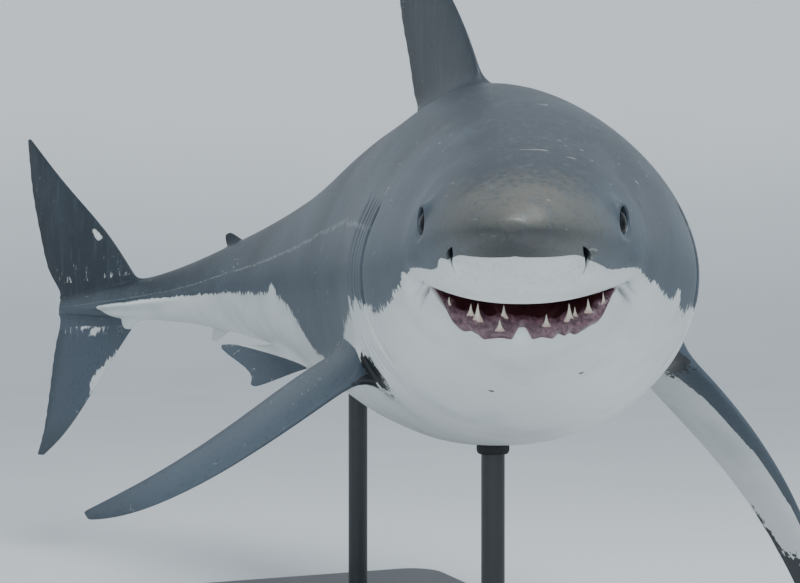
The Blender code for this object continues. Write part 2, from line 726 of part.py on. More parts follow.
def openness(turn, least):
    """Run from 1 in the middle of the mouth down towards a least share at its corners."""
    return least + (1 - least) * mouth_gap(turn) / mouth_gap(0)


def gum_middle(turn):
    """Return the middle of the gum's section at a turn round the jaw."""
    across = math.copysign(GUM_HALF_WIDTH * math.sin(math.radians(90 * abs(turn))), turn)
    edge = lip(turn, False)
    return Vector((across, edge.y + GUM_SETBACK + GUM_SIDE_SETBACK * abs(turn), edge.z))


def gum_axes(turn, step=0.02):
    """Return the gum's middle, its run and its outward direction at a turn round the jaw."""
    run = (gum_middle(turn + step) - gum_middle(turn - step)).normalized()
    return gum_middle(turn), run, run.cross(UP).normalized()


def add_gum(bm, extra=0.0):
    """Add the lower gum, which follows the jaw, fuller by a margin."""
    loops = []
    for number in range(GUM_SECTIONS):
        end = 2 * number / (GUM_SECTIONS - 1) - 1
        here, run, out = gum_axes(GUM_REACH * end)
        if abs(end) == 1:
            here += run * extra * end
        fullness = openness(GUM_REACH * end, GUM_LEAST)
        half = GUM_THICKNESS * fullness + extra
        top = GUM_TOP * mouth_gap(GUM_REACH * end) + extra
        root = GUM_ROOT * fullness + extra
        loop = []
        for corner in range(GUM_SIDES):
            angle = math.tau * corner / GUM_SIDES
            rise = math.sin(angle) * (top if math.sin(angle) > 0 else root)
            loop.append(bm.verts.new(pose(here + out * half * math.cos(angle) + UP * rise)))
        loops.append(loop)
    close_tube(bm, loops)
    bm.faces.new(reversed(loops[-1]))


def close_tube(bm, loops):
    """Join loops of points into a tube that is shut at its first loop."""
    sides = len(loops[0])
    for near, far in zip(loops, loops[1:]):
        for a in range(sides):
            b = (a + 1) % sides
            bm.faces.new((near[a], near[b], far[b]))
            bm.faces.new((near[a], far[b], far[a]))
    bm.faces.new(loops[0])


def make_tooth(turn):
    """Return a narrow flat spike rooted in the gum."""
    bm = bmesh.new()
    middle, run, out = gum_axes(turn)
    foot = middle + UP * mouth_gap(turn) * TOOTH_FOOT
    tall = mouth_gap(turn) * (TOOTH_TOP - TOOTH_FOOT)
    half = TOOTH_HALF_BASE * openness(turn, TOOTH_LEAST)
    rings = []
    for height, spread in TOOTH_RINGS:
        spots = (foot + UP * tall * height + (run * a + out * b) * half * spread
                 for a, b in TOOTH_SECTION)
        rings.append([bm.verts.new(pose(spot)) for spot in spots])
    close_tube(bm, rings)
    tip = bm.verts.new(pose(foot + UP * tall - out * TOOTH_LEAN))
    for a, b in zip(rings[-1], rings[-1][1:] + rings[-1][:1]):
        bm.faces.new((a, b, tip))
    return bm


def make_gum():
    """Make the lower gum with its teeth joined on."""
    flesh = bmesh.new()
    add_gum(flesh)
    gum = keep("lower_gum_teeth", flesh)
    for place in TOOTH_PLACES:
        for turn in (-place, place):
            combine(gum, keep("tooth", make_tooth(turn)), "UNION")
    dress(gum, gum.name, GUM)


# ------------------------------------------------------------------ the stand

def rod_place(at):
    """Return where a rod's axis meets the belly."""
    return pose(Vector((0, at, belly_height(at))) * TOTAL_LENGTH)


def add_turned(bm, profile, centre):
    """Add a solid turned round an upright axis from (radius, height) points."""
    others = set(bm.verts)
    points = [bm.verts.new(centre + Vector((radius, 0, height))) for radius, height in profile]
    edges = [bm.edges.new(pair) for pair in zip(points, points[1:])]
    bmesh.ops.spin(bm, geom=points + edges, cent=centre, axis=UP, angle=math.tau,
                   steps=ROD_SIDES, use_merge=True)
    fresh = [v for v in bm.verts if v not in others]
    bmesh.ops.remove_doubles(bm, verts=fresh, dist=GAP / 10)


def make_base(floor):
    """Make the flat base, with round corners and an eased upper edge."""
    front, rear = (rod_place(at) for at in ROD_AT)
    bm = bmesh.new()
    add_slab(bm, Matrix.Identity(4), BASE_SIZE)
    upright = [e for e in bm.edges if e.verts[0].co.xy == e.verts[1].co.xy]
    bmesh.ops.bevel(bm, geom=upright, offset=BASE_CORNER, segments=BASE_CORNER_STEPS,
                    profile=0.5, affect="EDGES")
    top = [e for e in bm.edges if min(v.co.z for v in e.verts) > 0]
    bmesh.ops.bevel(bm, geom=top, offset=BASE_EDGE, segments=1, profile=0.5, affect="EDGES")
    base = keep("stand_base", bm, STAND)
    base.location = (front + rear) / 2
    base.location.z = floor + BASE_SIZE[2] / 2
    base.rotation_euler.z = math.atan2(front.x - rear.x, rear.y - front.y)


def make_rod(name, at, floor):
    """Make an upright rod with a collar at its foot, from the base up into the belly."""
    top = rod_place(at)
    foot = floor + BASE_SIZE[2] + GAP
    length = top.z + ROD_DEPTH - foot
    bm = bmesh.new()
    add_turned(bm, ((0, 0), (COLLAR_RADIUS, 0), (COLLAR_RADIUS, COLLAR_HEIGHT - BASE_EDGE),
                    (COLLAR_RADIUS - BASE_EDGE, COLLAR_HEIGHT), (ROD_RADIUS, COLLAR_HEIGHT),
                    (ROD_RADIUS, length), (0, length)), Vector())
    rod = keep(name, bm, STAND)
    rod.location = (top.x, top.y, foot)


# ------------------------------------------------------------------ making it

def clear_scene():
    """Take away what the new file holds."""
    for old in list(bpy.data.objects):
        bpy.data.objects.remove(old)


def make_body():
    """Return the whole body in its turn, with its eyes' places and its fins' plans."""
    cage = Cage()
    shape_lips(cage)
    eyes = {"eye_left": make_eye_socket(cage, EYE_AT[1]),
            "eye_right": make_eye_socket(cage, RING_POINTS - EYE_AT[1])}
    for columns in (NOSTRIL_POINTS, mirrored(NOSTRIL_POINTS)):
        press_nostril(cage, columns)
    open_mouth(cage)
    press_gills(cage)
    plans = {name: grow_fin(cage, fin) for name, fin in FINS.items()}
    for vert in cage.bm.verts:
        vert.co = pose(vert.co, vert[cage.anchor])
    for name, (centre, axis) in eyes.items():
        middle = pose(centre)
        eyes[name] = (middle, (pose(centre + axis * EYE_RADIUS) - middle).normalized())
    return keep("body", cage.bm), eyes, plans


def add_fin_cut(bm, plan):
    """Add the thin slab that parts a fin from the body, just clear of the body's surface."""
    start, end = plan.edges(plan.spans[0])
    lead = plan.carry(plan.lead_root.lerp(start, FIN_CUT_RISE))
    trail = plan.carry(plan.trail_root.lerp(end, FIN_CUT_RISE))
    along = (trail - lead).normalized()
    wide = plan.carry(plan.lead_root + plan.across_root) - plan.carry(plan.lead_root)
    normal = wide.cross(along).normalized()
    placing = Matrix((along.cross(normal), along, normal)).transposed().to_4x4()
    placing.translation = (lead + trail) / 2
    size = (plan.across_root.length * FIN_CUT_SIZE, (trail - lead).length * FIN_CUT_SIZE, GAP)
    add_slab(bm, placing, size)


def part_body(body, eyes, plans):
    """Part the body with thin cuts and cut the seats of the eyes, the gum and the rods."""
    tools = bmesh.new()
    for _, at in CUTS:
        placing = (Matrix.Translation(pose(Vector((0, at, 0)) * TOTAL_LENGTH))
                   @ Matrix.Rotation(math.radians(heading(at)), 4, "Z"))
        size = (2 * half_width(at) * TOTAL_LENGTH + CUT_MARGIN, GAP,
                (back_height(at) - belly_height(at)) * TOTAL_LENGTH + CUT_MARGIN)
        add_slab(tools, placing, size)
    for name, plan in plans.items():
        if name not in CAUDAL_LOBES:
            add_fin_cut(tools, plan)
    for centre, axis in eyes.values():
        add_eye(tools, centre, axis, GAP)
    add_gum(tools, GAP)
    radius, reach = ROD_RADIUS + GAP, ROD_DEPTH + GAP
    for at in ROD_AT:
        seat = ((0, -ROD_DEPTH), (radius, -ROD_DEPTH), (radius, reach), (0, reach))
        add_turned(tools, seat, rod_place(at))
    combine(body, keep("cutter", tools), "DIFFERENCE")


def piece_middles(plans):
    """Return a point inside each piece that the cuts leave."""
    found = {"caudal_fin": pose(Vector((0, CAUDAL_MIDDLE * TOTAL_LENGTH, 0)))}
    start = 0
    for name, end in CUTS:
        found[name] = pose(Vector((0, (start + end) / 2 * TOTAL_LENGTH, 0)))
        start = end
    for name, plan in plans.items():
        if name not in CAUDAL_LOBES:
            lead, trail = plan.edges(0.5)
            found[name] = plan.carry((lead + trail) / 2)
    return found


def name_pieces(body, plans):
    """Separate the parted body into one object for each piece and name it."""
    bpy.context.view_layer.objects.active = body
    bpy.ops.object.mode_set(mode="EDIT")
    bpy.ops.mesh.separate(type="LOOSE")
    bpy.ops.object.mode_set(mode="OBJECT")
    pieces = [made for made in bpy.data.objects if made.name.startswith("body")]
    for name, spot in piece_middles(plans).items():
        piece = min(pieces, key=lambda one: distance_from(one, spot))
        pieces.remove(piece)
        dress(piece, name, SKIN)


def distance_from(piece, spot):
    """Return how far a spot lies from a piece, which is much less inside its box."""
    corners = np.array([v.co for v in piece.data.vertices])
    low, high = corners.min(axis=0), corners.max(axis=0)
    spot = np.array(spot)
    outside = np.maximum(np.maximum(low - spot, spot - high), 0).sum()
    return np.linalg.norm(corners - spot, axis=1).min() + TOTAL_LENGTH * outside


def settle():
    """Hang every piece on one frame, with the middle of the box's underside at the origin."""
    bpy.context.view_layer.update()
    pieces = list(bpy.data.objects)
    corners = np.array([made.matrix_world @ v.co for made in pieces for v in made.data.vertices])
    low, high = corners.min(axis=0), corners.max(axis=0)
    frame = bpy.data.objects.new("shark_frame", None)
    frame.location = (-(low[0] + high[0]) / 2, -(low[1] + high[1]) / 2, -low[2])
    bpy.context.collection.objects.link(frame)
    for made in pieces:
        made.parent = frame


def main():
    """Build the whole model and stand it on the floor."""
    clear_scene()
    body, eyes, plans = make_body()
    floor = min(v.co.z for v in body.data.vertices) - FIN_CLEARANCE
    part_body(body, eyes, plans)
    name_pieces(body, plans)
    for name, (centre, axis) in eyes.items():
        ball = bmesh.new()
        add_eye(ball, centre, axis)
        keep(name, ball, EYE)
    make_gum()
    make_base(floor)
    for name, at in zip(("stand_rod_front", "stand_rod_rear"), ROD_AT):
        make_rod(name, at, floor)
    settle()


main()
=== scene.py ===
"""A great white shark as a life-size display model: skin, eyes, mouth, stand and studio.

The body is laid out straight, from the snout tip along +Y with its left side at +X, drawn out ring
by ring as one skin, and then bent along the spine into a slow turn.
Lengths are in metres. Where a comment says "share", a number is a share of the total length.
"""

import math
from collections import namedtuple

import bmesh
import bpy
import numpy as np
from bpy.props import FloatProperty, FloatVectorProperty, PointerProperty
from mathutils import Matrix, Vector


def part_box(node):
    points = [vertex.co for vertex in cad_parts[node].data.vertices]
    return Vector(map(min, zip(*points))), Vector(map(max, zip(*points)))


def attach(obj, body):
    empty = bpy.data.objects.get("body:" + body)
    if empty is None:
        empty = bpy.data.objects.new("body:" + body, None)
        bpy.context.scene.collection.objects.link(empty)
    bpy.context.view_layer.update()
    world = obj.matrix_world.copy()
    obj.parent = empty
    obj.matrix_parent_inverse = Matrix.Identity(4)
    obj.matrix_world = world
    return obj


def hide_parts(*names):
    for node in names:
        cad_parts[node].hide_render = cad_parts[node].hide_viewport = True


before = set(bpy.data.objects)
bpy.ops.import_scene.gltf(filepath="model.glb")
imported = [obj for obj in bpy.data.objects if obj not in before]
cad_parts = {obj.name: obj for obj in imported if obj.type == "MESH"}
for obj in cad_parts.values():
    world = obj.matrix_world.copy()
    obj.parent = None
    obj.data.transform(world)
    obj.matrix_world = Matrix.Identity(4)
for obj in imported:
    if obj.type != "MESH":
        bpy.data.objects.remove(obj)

bl_info = {
    "name": "Great white shark display model",
    "version": (1, 0, 0),
    "blender": (4, 5, 0),
    "location": "3D View > Sidebar > Shark",
    "description": "Dresses a packed shark model with its skin, eyes, mouth and stand",
    "category": "Object",
}

# ------------------------------------------------------------------ sizes of the body

TOTAL_LENGTH = 4.5
UP = Vector((0, 0, 1))
BACK = Vector((0, 1, 0))

Station = namedtuple("Station", "at half_width back belly")
STATIONS = (
    Station(0.000, 0.0000, 0.0000, 0.0000),
    Station(0.030, 0.0252, 0.0168, -0.0128),
    Station(0.066, 0.0392, 0.0318, -0.0364),
    Station(0.090, 0.0476, 0.0402, -0.0450),
    Station(0.120, 0.0572, 0.0494, -0.0554),
    Station(0.200, 0.0808, 0.0722, -0.0843),
    Station(0.300, 0.0898, 0.0940, -0.1020),
    Station(0.370, 0.0870, 0.1035, -0.1065),
    Station(0.460, 0.0806, 0.0980, -0.0985),
    Station(0.575, 0.0625, 0.0680, -0.0655),
    Station(0.650, 0.0475, 0.0505, -0.0475),
    Station(0.720, 0.0327, 0.0350, -0.0325),
    Station(0.780, 0.0212, 0.0217, -0.0218),
    Station(0.818, 0.0160, 0.0160, -0.0170),
    Station(0.860, 0.0098, 0.0125, -0.0130),
    Station(0.912, 0.0018, 0.0050, -0.0060),
)
SNOUT_UNDERSIDE = ((0.000, 0.0), (0.030, -0.0128), (0.060, -0.0250), (0.120, -0.0500))
BACK_ROUNDNESS = ((0.0, 2.0), (0.10, 1.9), (0.25, 1.72), (1.0, 1.70))
BELLY_ROUNDNESS = 2.05
FLANK_DROP = 0.004            # share by which the widest line lies under the middle
FLANK_DROP_FULL = 0.1         # share of the length behind which the whole drop is taken

# The spine's heading (degrees, towards the right side) and height (metres) along the body.
SPINE = (
    (0.00, -7.7, 0.000),
    (0.15, -5.9, -0.012),
    (0.30, 6.6, -0.013),
    (0.45, 22.2, -0.038),
    (0.60, 35.3, -0.061),
    (0.75, 52.0, -0.099),
    (0.82, 60.0, -0.124),
    (0.90, 56.0, -0.148),
    (1.00, 40.0, -0.160),
)

# Points round a ring: from the back (0) down the left side to the mouth corner, then closer
# together to the belly (HALF), and up the right side again.
CORNER = 11
HALF = 18
RING_POINTS = 2 * HALF
CORNER_ANGLE = 118.8

# Each ring's place at the back, the side and the belly, in shares.
HEAD_RINGS = (
    (0.003, 0.003, 0.003),
    (0.012, 0.012, 0.011),
    (0.022, 0.022, 0.020),
    (0.031, 0.031, 0.029),
    (0.038, 0.0360, 0.0400),
    (0.044, 0.0420, 0.0450),
    (0.052, 0.0520, 0.0488),
    (0.062, 0.0625, 0.0518),
    (0.068, 0.0685, 0.0542),
    (0.074, 0.0750, 0.0563),
    (0.083, 0.0800, 0.0583),
)
UPPER_LIP_RING = (0.091, 0.0925, 0.124)
LOWER_LIP_RING = (0.099, 0.1010, 0.102)
JAW_RINGS = (
    (0.111, 0.1160, 0.0740),
    (0.125, 0.1300, 0.0870),
    (0.143, 0.1470, 0.1100),
    (0.166, 0.1680, 0.1480),
)
GILL_SLITS = (0.190, 0.205, 0.220, 0.236, 0.254)
GILL_FLAPS = (0.1975, 0.2125, 0.2280, 0.2450)   # the middle of the skin between two slits
GILL_HALF_WIDTH = 0.0012
TRUNK_RINGS = (
    0.270, 0.284, 0.300, 0.318, 0.336,
    0.358, 0.380, 0.406, 0.434, 0.460,
    0.495, 0.530,
    0.572, 0.594, 0.618,
    0.642, 0.672,
    0.708, 0.716, 0.724, 0.732, 0.741,
    0.766, 0.795,
    0.824, 0.842, 0.862, 0.884, 0.905, 0.912,
)

MOUTH_HALF_WIDTH = 0.0411
UPPER_LIP_AT = 0.0602
MOUTH_LENGTH = 0.040
UPPER_LIP_HEIGHT = -0.0254
MOUTH_CORNER_HEIGHT = -0.0154
LIP_SWEEP = 1.3               # power that keeps the front of the lips flat, seen from above
UPPER_LIP_SWEEP = 2.2         # power by which the upper lip falls from its corners
# The lower lip's height at turns from the middle of the mouth (0) to a corner (1).
LOWER_LIP_RISE = ((0, -0.0364), (0.20, -0.0362), (0.30, -0.0346), (0.40, -0.0331),
                  (0.47, -0.0304), (0.53, -0.0267), (0.58, -0.0227), (0.63, -0.0192),
                  (0.70, -0.0166), (0.86, -0.0149), (1.0, -0.0154))
LOWER_LIP_SETBACK = 0.0058    # share by which the lower lip's middle lies behind the upper's
LIP_SMOOTHING = 3             # passes that let the snout and jaw run into the lips

# The mouth's cavity, one row for each step inwards: its width as a share of the mouth's, and
# how far it goes back, and its roof and floor go up, in shares of the total length.
MouthStep = namedtuple("MouthStep", "width back roof floor")
MOUTH_STEPS = (
    MouthStep(0.97, 0.0030, 0.0012, 0.0004),
    MouthStep(0.86, 0.0120, 0.0060, 0.0000),
    MouthStep(0.62, 0.0180, 0.0000, -0.0030),
    MouthStep(0.40, 0.0180, -0.0060, 0.0010),
)

EYE_AT = (8, 7)               # the ring and point in the middle of the left eye
EYE_SPREAD = 0.043            # how far the points round an eye lie from its middle
# The lids, from the outer fold inwards: how far from the eye's middle, and how far raised.
LID_RINGS = ((0.0350, 0.0012), (0.0282, 0.0012), (0.0262, -0.0030), (0.0285, -0.0130))

NOSTRIL_RINGS = (4, 5)
NOSTRIL_POINTS = (10, 13)
# How far the rings lean along the nostril's slit: for each ring, a share of the full lean.
NOSTRIL_LEAN = {1: 0.2, 2: 0.45, 3: 0.75, 4: 1.0, 5: 1.0, 6: 0.75, 7: 0.5, 8: 0.3, 9: 0.1}
NOSTRIL_SLOPE = 0.00052       # share of the length for each degree round the snout
NOSTRIL_MIDDLE = 122.5
NOSTRIL_LEAN_WINDOW = (88, 104, 142, 160)
# The slit's rims, from the outer one inwards: how far raised, and half its width at four places
# from the wide upper end to the narrow lower one.
NOSTRIL_RIMS = (
    (0.0006, (0.0160, 0.0140, 0.0095, 0.0070)),
    (0.0020, (0.0125, 0.0105, 0.0058, 0.0038)),
    (-0.0070, (0.0120, 0.0100, 0.0050, 0.0030)),
    (-0.0240, (0.0100, 0.0090, 0.0050, 0.0030)),
)
NOSTRIL_FLAP = (0.0030, 0.0035)   # how far the front edge's flap is raised and laps over
NOSTRIL_TURN = (-0.0060, 0.0025)  # how far the wide end's front and rear rims are raised

GILL_POINTS = (6, 12)
GILL_DEPTH = 0.022
GILL_SLANT = 0.012
GILL_LIFT = 0.003             # how far a slit's front edge stands proud
GILL_LAP = 0.009              # how far that edge laps back over the slit

KEEL_SPAN = (0.745, 0.815, 0.885)
KEEL_WIDTH = 0.0095
KEEL_TURN = 8                 # degrees above and below the side that the keel takes up

ROD_AT = (0.335, 0.560)
ROD_DEPTH = 0.050

# Where the rings stand in the body's row of rings.
UPPER_LIP = len(HEAD_RINGS)
GILL_RINGS = tuple(sorted(
    [slit + side * GILL_HALF_WIDTH for slit in GILL_SLITS for side in (-1, 1)] + list(GILL_FLAPS)))
FIRST_GILL_RING = len(HEAD_RINGS) + 2 + len(JAW_RINGS)
FIRST_TRUNK_RING = FIRST_GILL_RING + len(GILL_RINGS)
TRUNK_ROW = {at: FIRST_TRUNK_RING + n for n, at in enumerate(TRUNK_RINGS)}


# ------------------------------------------------------------------ curves

def smooth_curve(points):
    """Return the cubic that runs through (x, y) points and never overshoots them."""
    xs, ys = (np.array(column, float) for column in zip(*points))
    step = np.diff(xs)
    rise = np.diff(ys) / step
    slope = np.concatenate([rise[:1], np.zeros(len(xs) - 2), rise[-1:]])
    for i in range(1, len(xs) - 1):
        if rise[i - 1] * rise[i] > 0:
            slope[i] = 2 / (1 / rise[i - 1] + 1 / rise[i])

    def at(x):
        x = np.clip(x, xs[0], xs[-1])
        i = np.clip(np.searchsorted(xs, x) - 1, 0, len(step) - 1)
        t = (x - xs[i]) / step[i]
        start = (1 + 2 * t) * (1 - t) ** 2 * ys[i] + t * (1 - t) ** 2 * step[i] * slope[i]
        end = t * t * (3 - 2 * t) * ys[i + 1] - t * t * (1 - t) * step[i] * slope[i + 1]
        return start + end

    return at


def ease(t):
    """Run smoothly from 0 to 1 as t does."""
    t = np.clip(t, 0, 1)
    return t * t * (3 - 2 * t)


def rounded(points):
    """Return a smooth curve over the square root of x, which gives the snout a round tip."""
    curve = smooth_curve([(math.sqrt(x), y) for x, y in points])
    return lambda x: curve(np.sqrt(np.maximum(x, 0)))


half_width = rounded([(s.at, s.half_width) for s in STATIONS])
back_height = rounded([(s.at, s.back) for s in STATIONS])
belly_height = rounded([(s.at, s.belly) for s in STATIONS])
snout_underside = rounded(SNOUT_UNDERSIDE)
back_roundness = smooth_curve(BACK_ROUNDNESS)
heading = smooth_curve([(at, turn) for at, turn, _ in SPINE])
spine_height = smooth_curve([(at, height) for at, _, height in SPINE])
lower_lip_height = smooth_curve(LOWER_LIP_RISE)


# ------------------------------------------------------------------ working by hand

def leave_all():
    """Leave edit mode and select nothing."""
    if bpy.context.mode != "OBJECT":
        bpy.ops.object.mode_set(mode="OBJECT")
    bpy.ops.object.select_all(action="DESELECT")


def select_pieces(pieces):
    """Select some pieces alone, with the first of them active."""
    leave_all()
    for made in pieces:
        made.select_set(True)
    bpy.context.view_layer.objects.active = pieces[0]


def copy_piece(made):
    """Return a copy of a piece, with a mesh of its own."""
    select_pieces([made])
    bpy.ops.object.duplicate()
    return bpy.context.object


def join_pieces(pieces):
    """Join pieces into one and return it."""
    select_pieces(pieces)
    bpy.ops.object.join()
    bpy.ops.object.transform_apply()
    return bpy.context.object


def select_where(bm, kind, wanted):
    """Select the wanted points, edges or faces of the mesh in edit mode, and nothing else."""
    bpy.ops.mesh.select_mode(type=kind)
    bpy.ops.mesh.select_all(action="DESELECT")
    for item in {"VERT": bm.verts, "EDGE": bm.edges, "FACE": bm.faces}[kind]:
        item.select = wanted(item)
    bm.select_flush_mode()


def select_rim():
    """Select the open rim of the mesh in edit mode."""
    bpy.ops.mesh.select_mode(type="EDGE")
    bpy.ops.mesh.select_all(action="DESELECT")
    bpy.ops.mesh.select_non_manifold()


def draw_profile(profile, x=0, y=0):
    """Draw the selected ring on through the other radii and heights of its profile."""
    radius, height = profile[0]
    for wider, higher in profile[1:]:
        bpy.ops.mesh.extrude_region_move(
            TRANSFORM_OT_translate={"value": (0, 0, higher - height)})
        size = wider / radius
        bpy.ops.transform.resize(value=(size, size, 1), center_override=(x, y, higher))
        radius, height = wider, higher


def turn_out():
    """Turn every face of the mesh in edit mode outwards and leave edit mode."""
    bpy.ops.mesh.select_all(action="SELECT")
    bpy.ops.mesh.normals_make_consistent(inside=False)
    bpy.ops.object.mode_set(mode="OBJECT")


def subdivide(levels):
    """Round the active piece off."""
    bpy.ops.object.modifier_add(type="SUBSURF")
    step = bpy.context.object.modifiers[-1]
    step.levels = levels
    bpy.ops.object.modifier_apply(modifier=step.name)


def read_points(mesh):
    """Return the places of a mesh's points as an array."""
    points = np.zeros(len(mesh.vertices) * 3, np.float32)
    mesh.vertices.foreach_get("co", points)
    return points.reshape(-1, 3).astype(float)


def write_points(mesh, points):
    """Move a mesh's points to the places in an array."""
    mesh.vertices.foreach_set("co", points.astype(np.float32).ravel())
    mesh.update()


def write_mark(mesh, name, values):
    """Keep a mark on a mesh's points for its finish."""
    if name not in mesh.attributes:
        mesh.attributes.new(name, "FLOAT", "POINT")
    mesh.attributes[name].data.foreach_set("value", values.astype(np.float32))


def finish_piece(made, name, slot, finish, *nodes):
    """Name a piece, give it its finish, join it to the part and let it stand for its nodes."""
    made.name = made.data.name = name
    made.data.materials.append(finish)
    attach(made, "root")
    if nodes:
        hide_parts(*nodes)
    leave_all()


# ------------------------------------------------------------------ the straight body

def point_angle(point):
    """Return the angle of a ring's point from the back, in degrees, right side past 180."""
    if point > HALF:
        return 360 - point_angle(RING_POINTS - point)
    if point <= CORNER:
        return point * CORNER_ANGLE / CORNER
    return CORNER_ANGLE + (point - CORNER) * (180 - CORNER_ANGLE) / (HALF - CORNER)


ANGLES = [point_angle(point) for point in range(RING_POINTS)]


def ring_station(ring, angle):
    """Return where along the body a leaning ring passes at an angle."""
    back, side, belly = ring
    along = math.cos(math.radians(angle))
    return back * max(along, 0) ** 2 + side * (1 - along * along) + belly * min(along, 0) ** 2


def surface(at, angle, underside=belly_height):
    """Return the trunk's surface at a share of the length and an angle from the back."""
    across, along = math.sin(math.radians(angle)), math.cos(math.radians(angle))
    top, bottom = back_height(at), underside(at)
    middle = (top + bottom) / 2 - FLANK_DROP * min(at / FLANK_DROP_FULL, 1)
    power = 2 / (back_roundness(at) if along >= 0 else BELLY_ROUNDNESS)
    x = math.copysign(abs(across) ** power, across) * half_width(at)
    reach = top - middle if along >= 0 else middle - bottom
    z = middle + math.copysign(abs(along) ** power, along) * reach
    start, crest, end = KEEL_SPAN
    if abs(abs(angle - 180) - 90) < KEEL_TURN and start < at < end:
        fade = (at - start) / (crest - start) if at < crest else (end - at) / (end - crest)
        x += math.copysign(KEEL_WIDTH * ease(fade), across)
    return Vector((x, at, z)) * TOTAL_LENGTH


def lip_turn(point):
    """Return -1 at the mouth's right corner, 0 at its middle and 1 at its left corner."""
    return (HALF - point) / (HALF - CORNER)


def lip(turn, upper):
    """Return a point on the upper or lower lip."""
    swing = math.radians(90 * abs(turn))
    across = math.copysign(MOUTH_HALF_WIDTH * math.sin(swing), turn)
    along = MOUTH_LENGTH * (1 - math.cos(swing)) ** LIP_SWEEP
    if upper:
        rise = (MOUTH_CORNER_HEIGHT - UPPER_LIP_HEIGHT) * math.sin(swing) ** UPPER_LIP_SWEEP
        return Vector((across, UPPER_LIP_AT + along, UPPER_LIP_HEIGHT + rise)) * TOTAL_LENGTH
    back = UPPER_LIP_AT + along + LOWER_LIP_SETBACK * (1 - abs(turn))
    return Vector((across, back, lower_lip_height(abs(turn)))) * TOTAL_LENGTH


def nostril_lean(number, angle):
    """Return how far a ring of the snout leans tailward along the nostril's slit."""
    angle = 180 - abs(180 - angle)
    start, full, still, end = NOSTRIL_LEAN_WINDOW
    window = ease((angle - start) / (full - start)) * ease((end - angle) / (end - still))
    return NOSTRIL_LEAN.get(number, 0) * NOSTRIL_SLOPE * (angle - NOSTRIL_MIDDLE) * window


def all_rings():
    """Return every ring as a list of points."""
    rings = []
    for number, ring in enumerate(HEAD_RINGS + (UPPER_LIP_RING,)):
        rings.append([surface(ring_station(ring, a) + nostril_lean(number, a), a, snout_underside)
                      for a in ANGLES])
    for ring in (LOWER_LIP_RING,) + JAW_RINGS:
        rings.append([surface(ring_station(ring, a), a) for a in ANGLES])
    for number, is_upper in ((UPPER_LIP, True), (UPPER_LIP + 1, False)):
        for point in range(CORNER, RING_POINTS - CORNER + 1):
            rings[number][point] = lip(lip_turn(point), is_upper)
    for at in GILL_RINGS + TRUNK_RINGS:
        rings.append([surface(at, a) for a in ANGLES])
    return rings


INT_MARKS = ("row", "column", "level")
FLOAT_MARKS = ("round", "stiff", "anchor", "pectoral", "pelvic", "upright", "caudal",
               "span", "chord", "face", "mouth", "gill", "nostril")


def mirrored(columns):
    """Return the same points on the body's other side."""
    return RING_POINTS - columns[1], RING_POINTS - columns[0]


class Body:
    """The body's mesh in edit mode, each of its points knowing its ring and its place round it."""

    def __init__(self, rings):
        bpy.ops.mesh.primitive_circle_add(vertices=RING_POINTS, radius=TOTAL_LENGTH / 100,
                                          fill_type="TRIFAN", enter_editmode=True)
        self.made = bpy.context.edit_object
        self.bm = bmesh.from_edit_mesh(self.made.data)
        for name in INT_MARKS:
            self.bm.verts.layers.int.new(name)
        for name in FLOAT_MARKS:
            self.bm.verts.layers.float.new(name)
        self.start_ring(rings[0])
        for number, ring in enumerate(rings[1:], 1):
            for vert in self.draw():
                vert[self.row] = number
                vert.co = ring[vert[self.column]]
        self.close_tail(len(rings) - 1)

    @property
    def row(self):
        """Return the mark that holds a point's ring."""
        return self.bm.verts.layers.int["row"]

    @property
    def column(self):
        """Return the mark that holds a point's place round its ring."""
        return self.bm.verts.layers.int["column"]

    @property
    def level(self):
        """Return the mark that tells the first skin (0) from what was drawn out of it."""
        return self.bm.verts.layers.int["level"]

    def mark(self, name):
        """Return one of the marks that the finish reads."""
        return self.bm.verts.layers.float[name]

    def start_ring(self, places):
        """Number the first ring from the back down the left side and put it in place."""
        row, column, about = self.row, self.column, self.mark("round")
        for vert in self.bm.verts:
            turn = math.atan2(vert.co.x, vert.co.y) / math.tau * RING_POINTS
            if vert.co.length < TOTAL_LENGTH / 200:
                vert.co = (0, 0, 0)
                vert[row] = -1
                vert[about] = 0.5
            else:
                vert[column] = round(turn) % RING_POINTS
                vert[about] = (180 - abs(180 - ANGLES[vert[column]])) / 180
                vert.co = places[vert[column]]
        select_rim()

    def draw(self):
        """Extrude what is selected and return the new points."""
        bpy.ops.mesh.extrude_region_move()
        return [vert for vert in self.bm.verts if vert.select]

    def draw_out(self):
        """Extrude the selected faces as flesh of their own and return the new points."""
        fresh = self.draw()
        level = self.level
        for vert in fresh:
            vert[level] = 1
        return fresh

    def grid(self):
        """Return the first skin's points by ring and place."""
        row, column, level = self.row, self.column, self.level
        return {(v[row], v[column]): v for v in self.bm.verts if v[level] == 0}

    def close_tail(self, last):
        """Join the last ring's left side to its right side."""
        for point in range(HALF):
            bpy.ops.mesh.select_all(action="DESELECT")
            grid = self.grid()
            for column in {point, point + 1, -point % RING_POINTS, -(point + 1) % RING_POINTS}:
                grid[last, column].select = True
            self.bm.select_flush(True)
            bpy.ops.mesh.edge_face_add()

    def pick(self, rows, columns):
        """Select the faces of the first skin between two rings and two points."""
        row, column, level = self.row, self.column, self.level
        width = columns[1] - columns[0]
        select_where(self.bm, "FACE", lambda face: all(
            v[level] == 0 and rows[0] <= v[row] <= rows[1]
            and (v[column] - columns[0]) % RING_POINTS <= width for v in face.verts))


# ------------------------------------------------------------------ the head

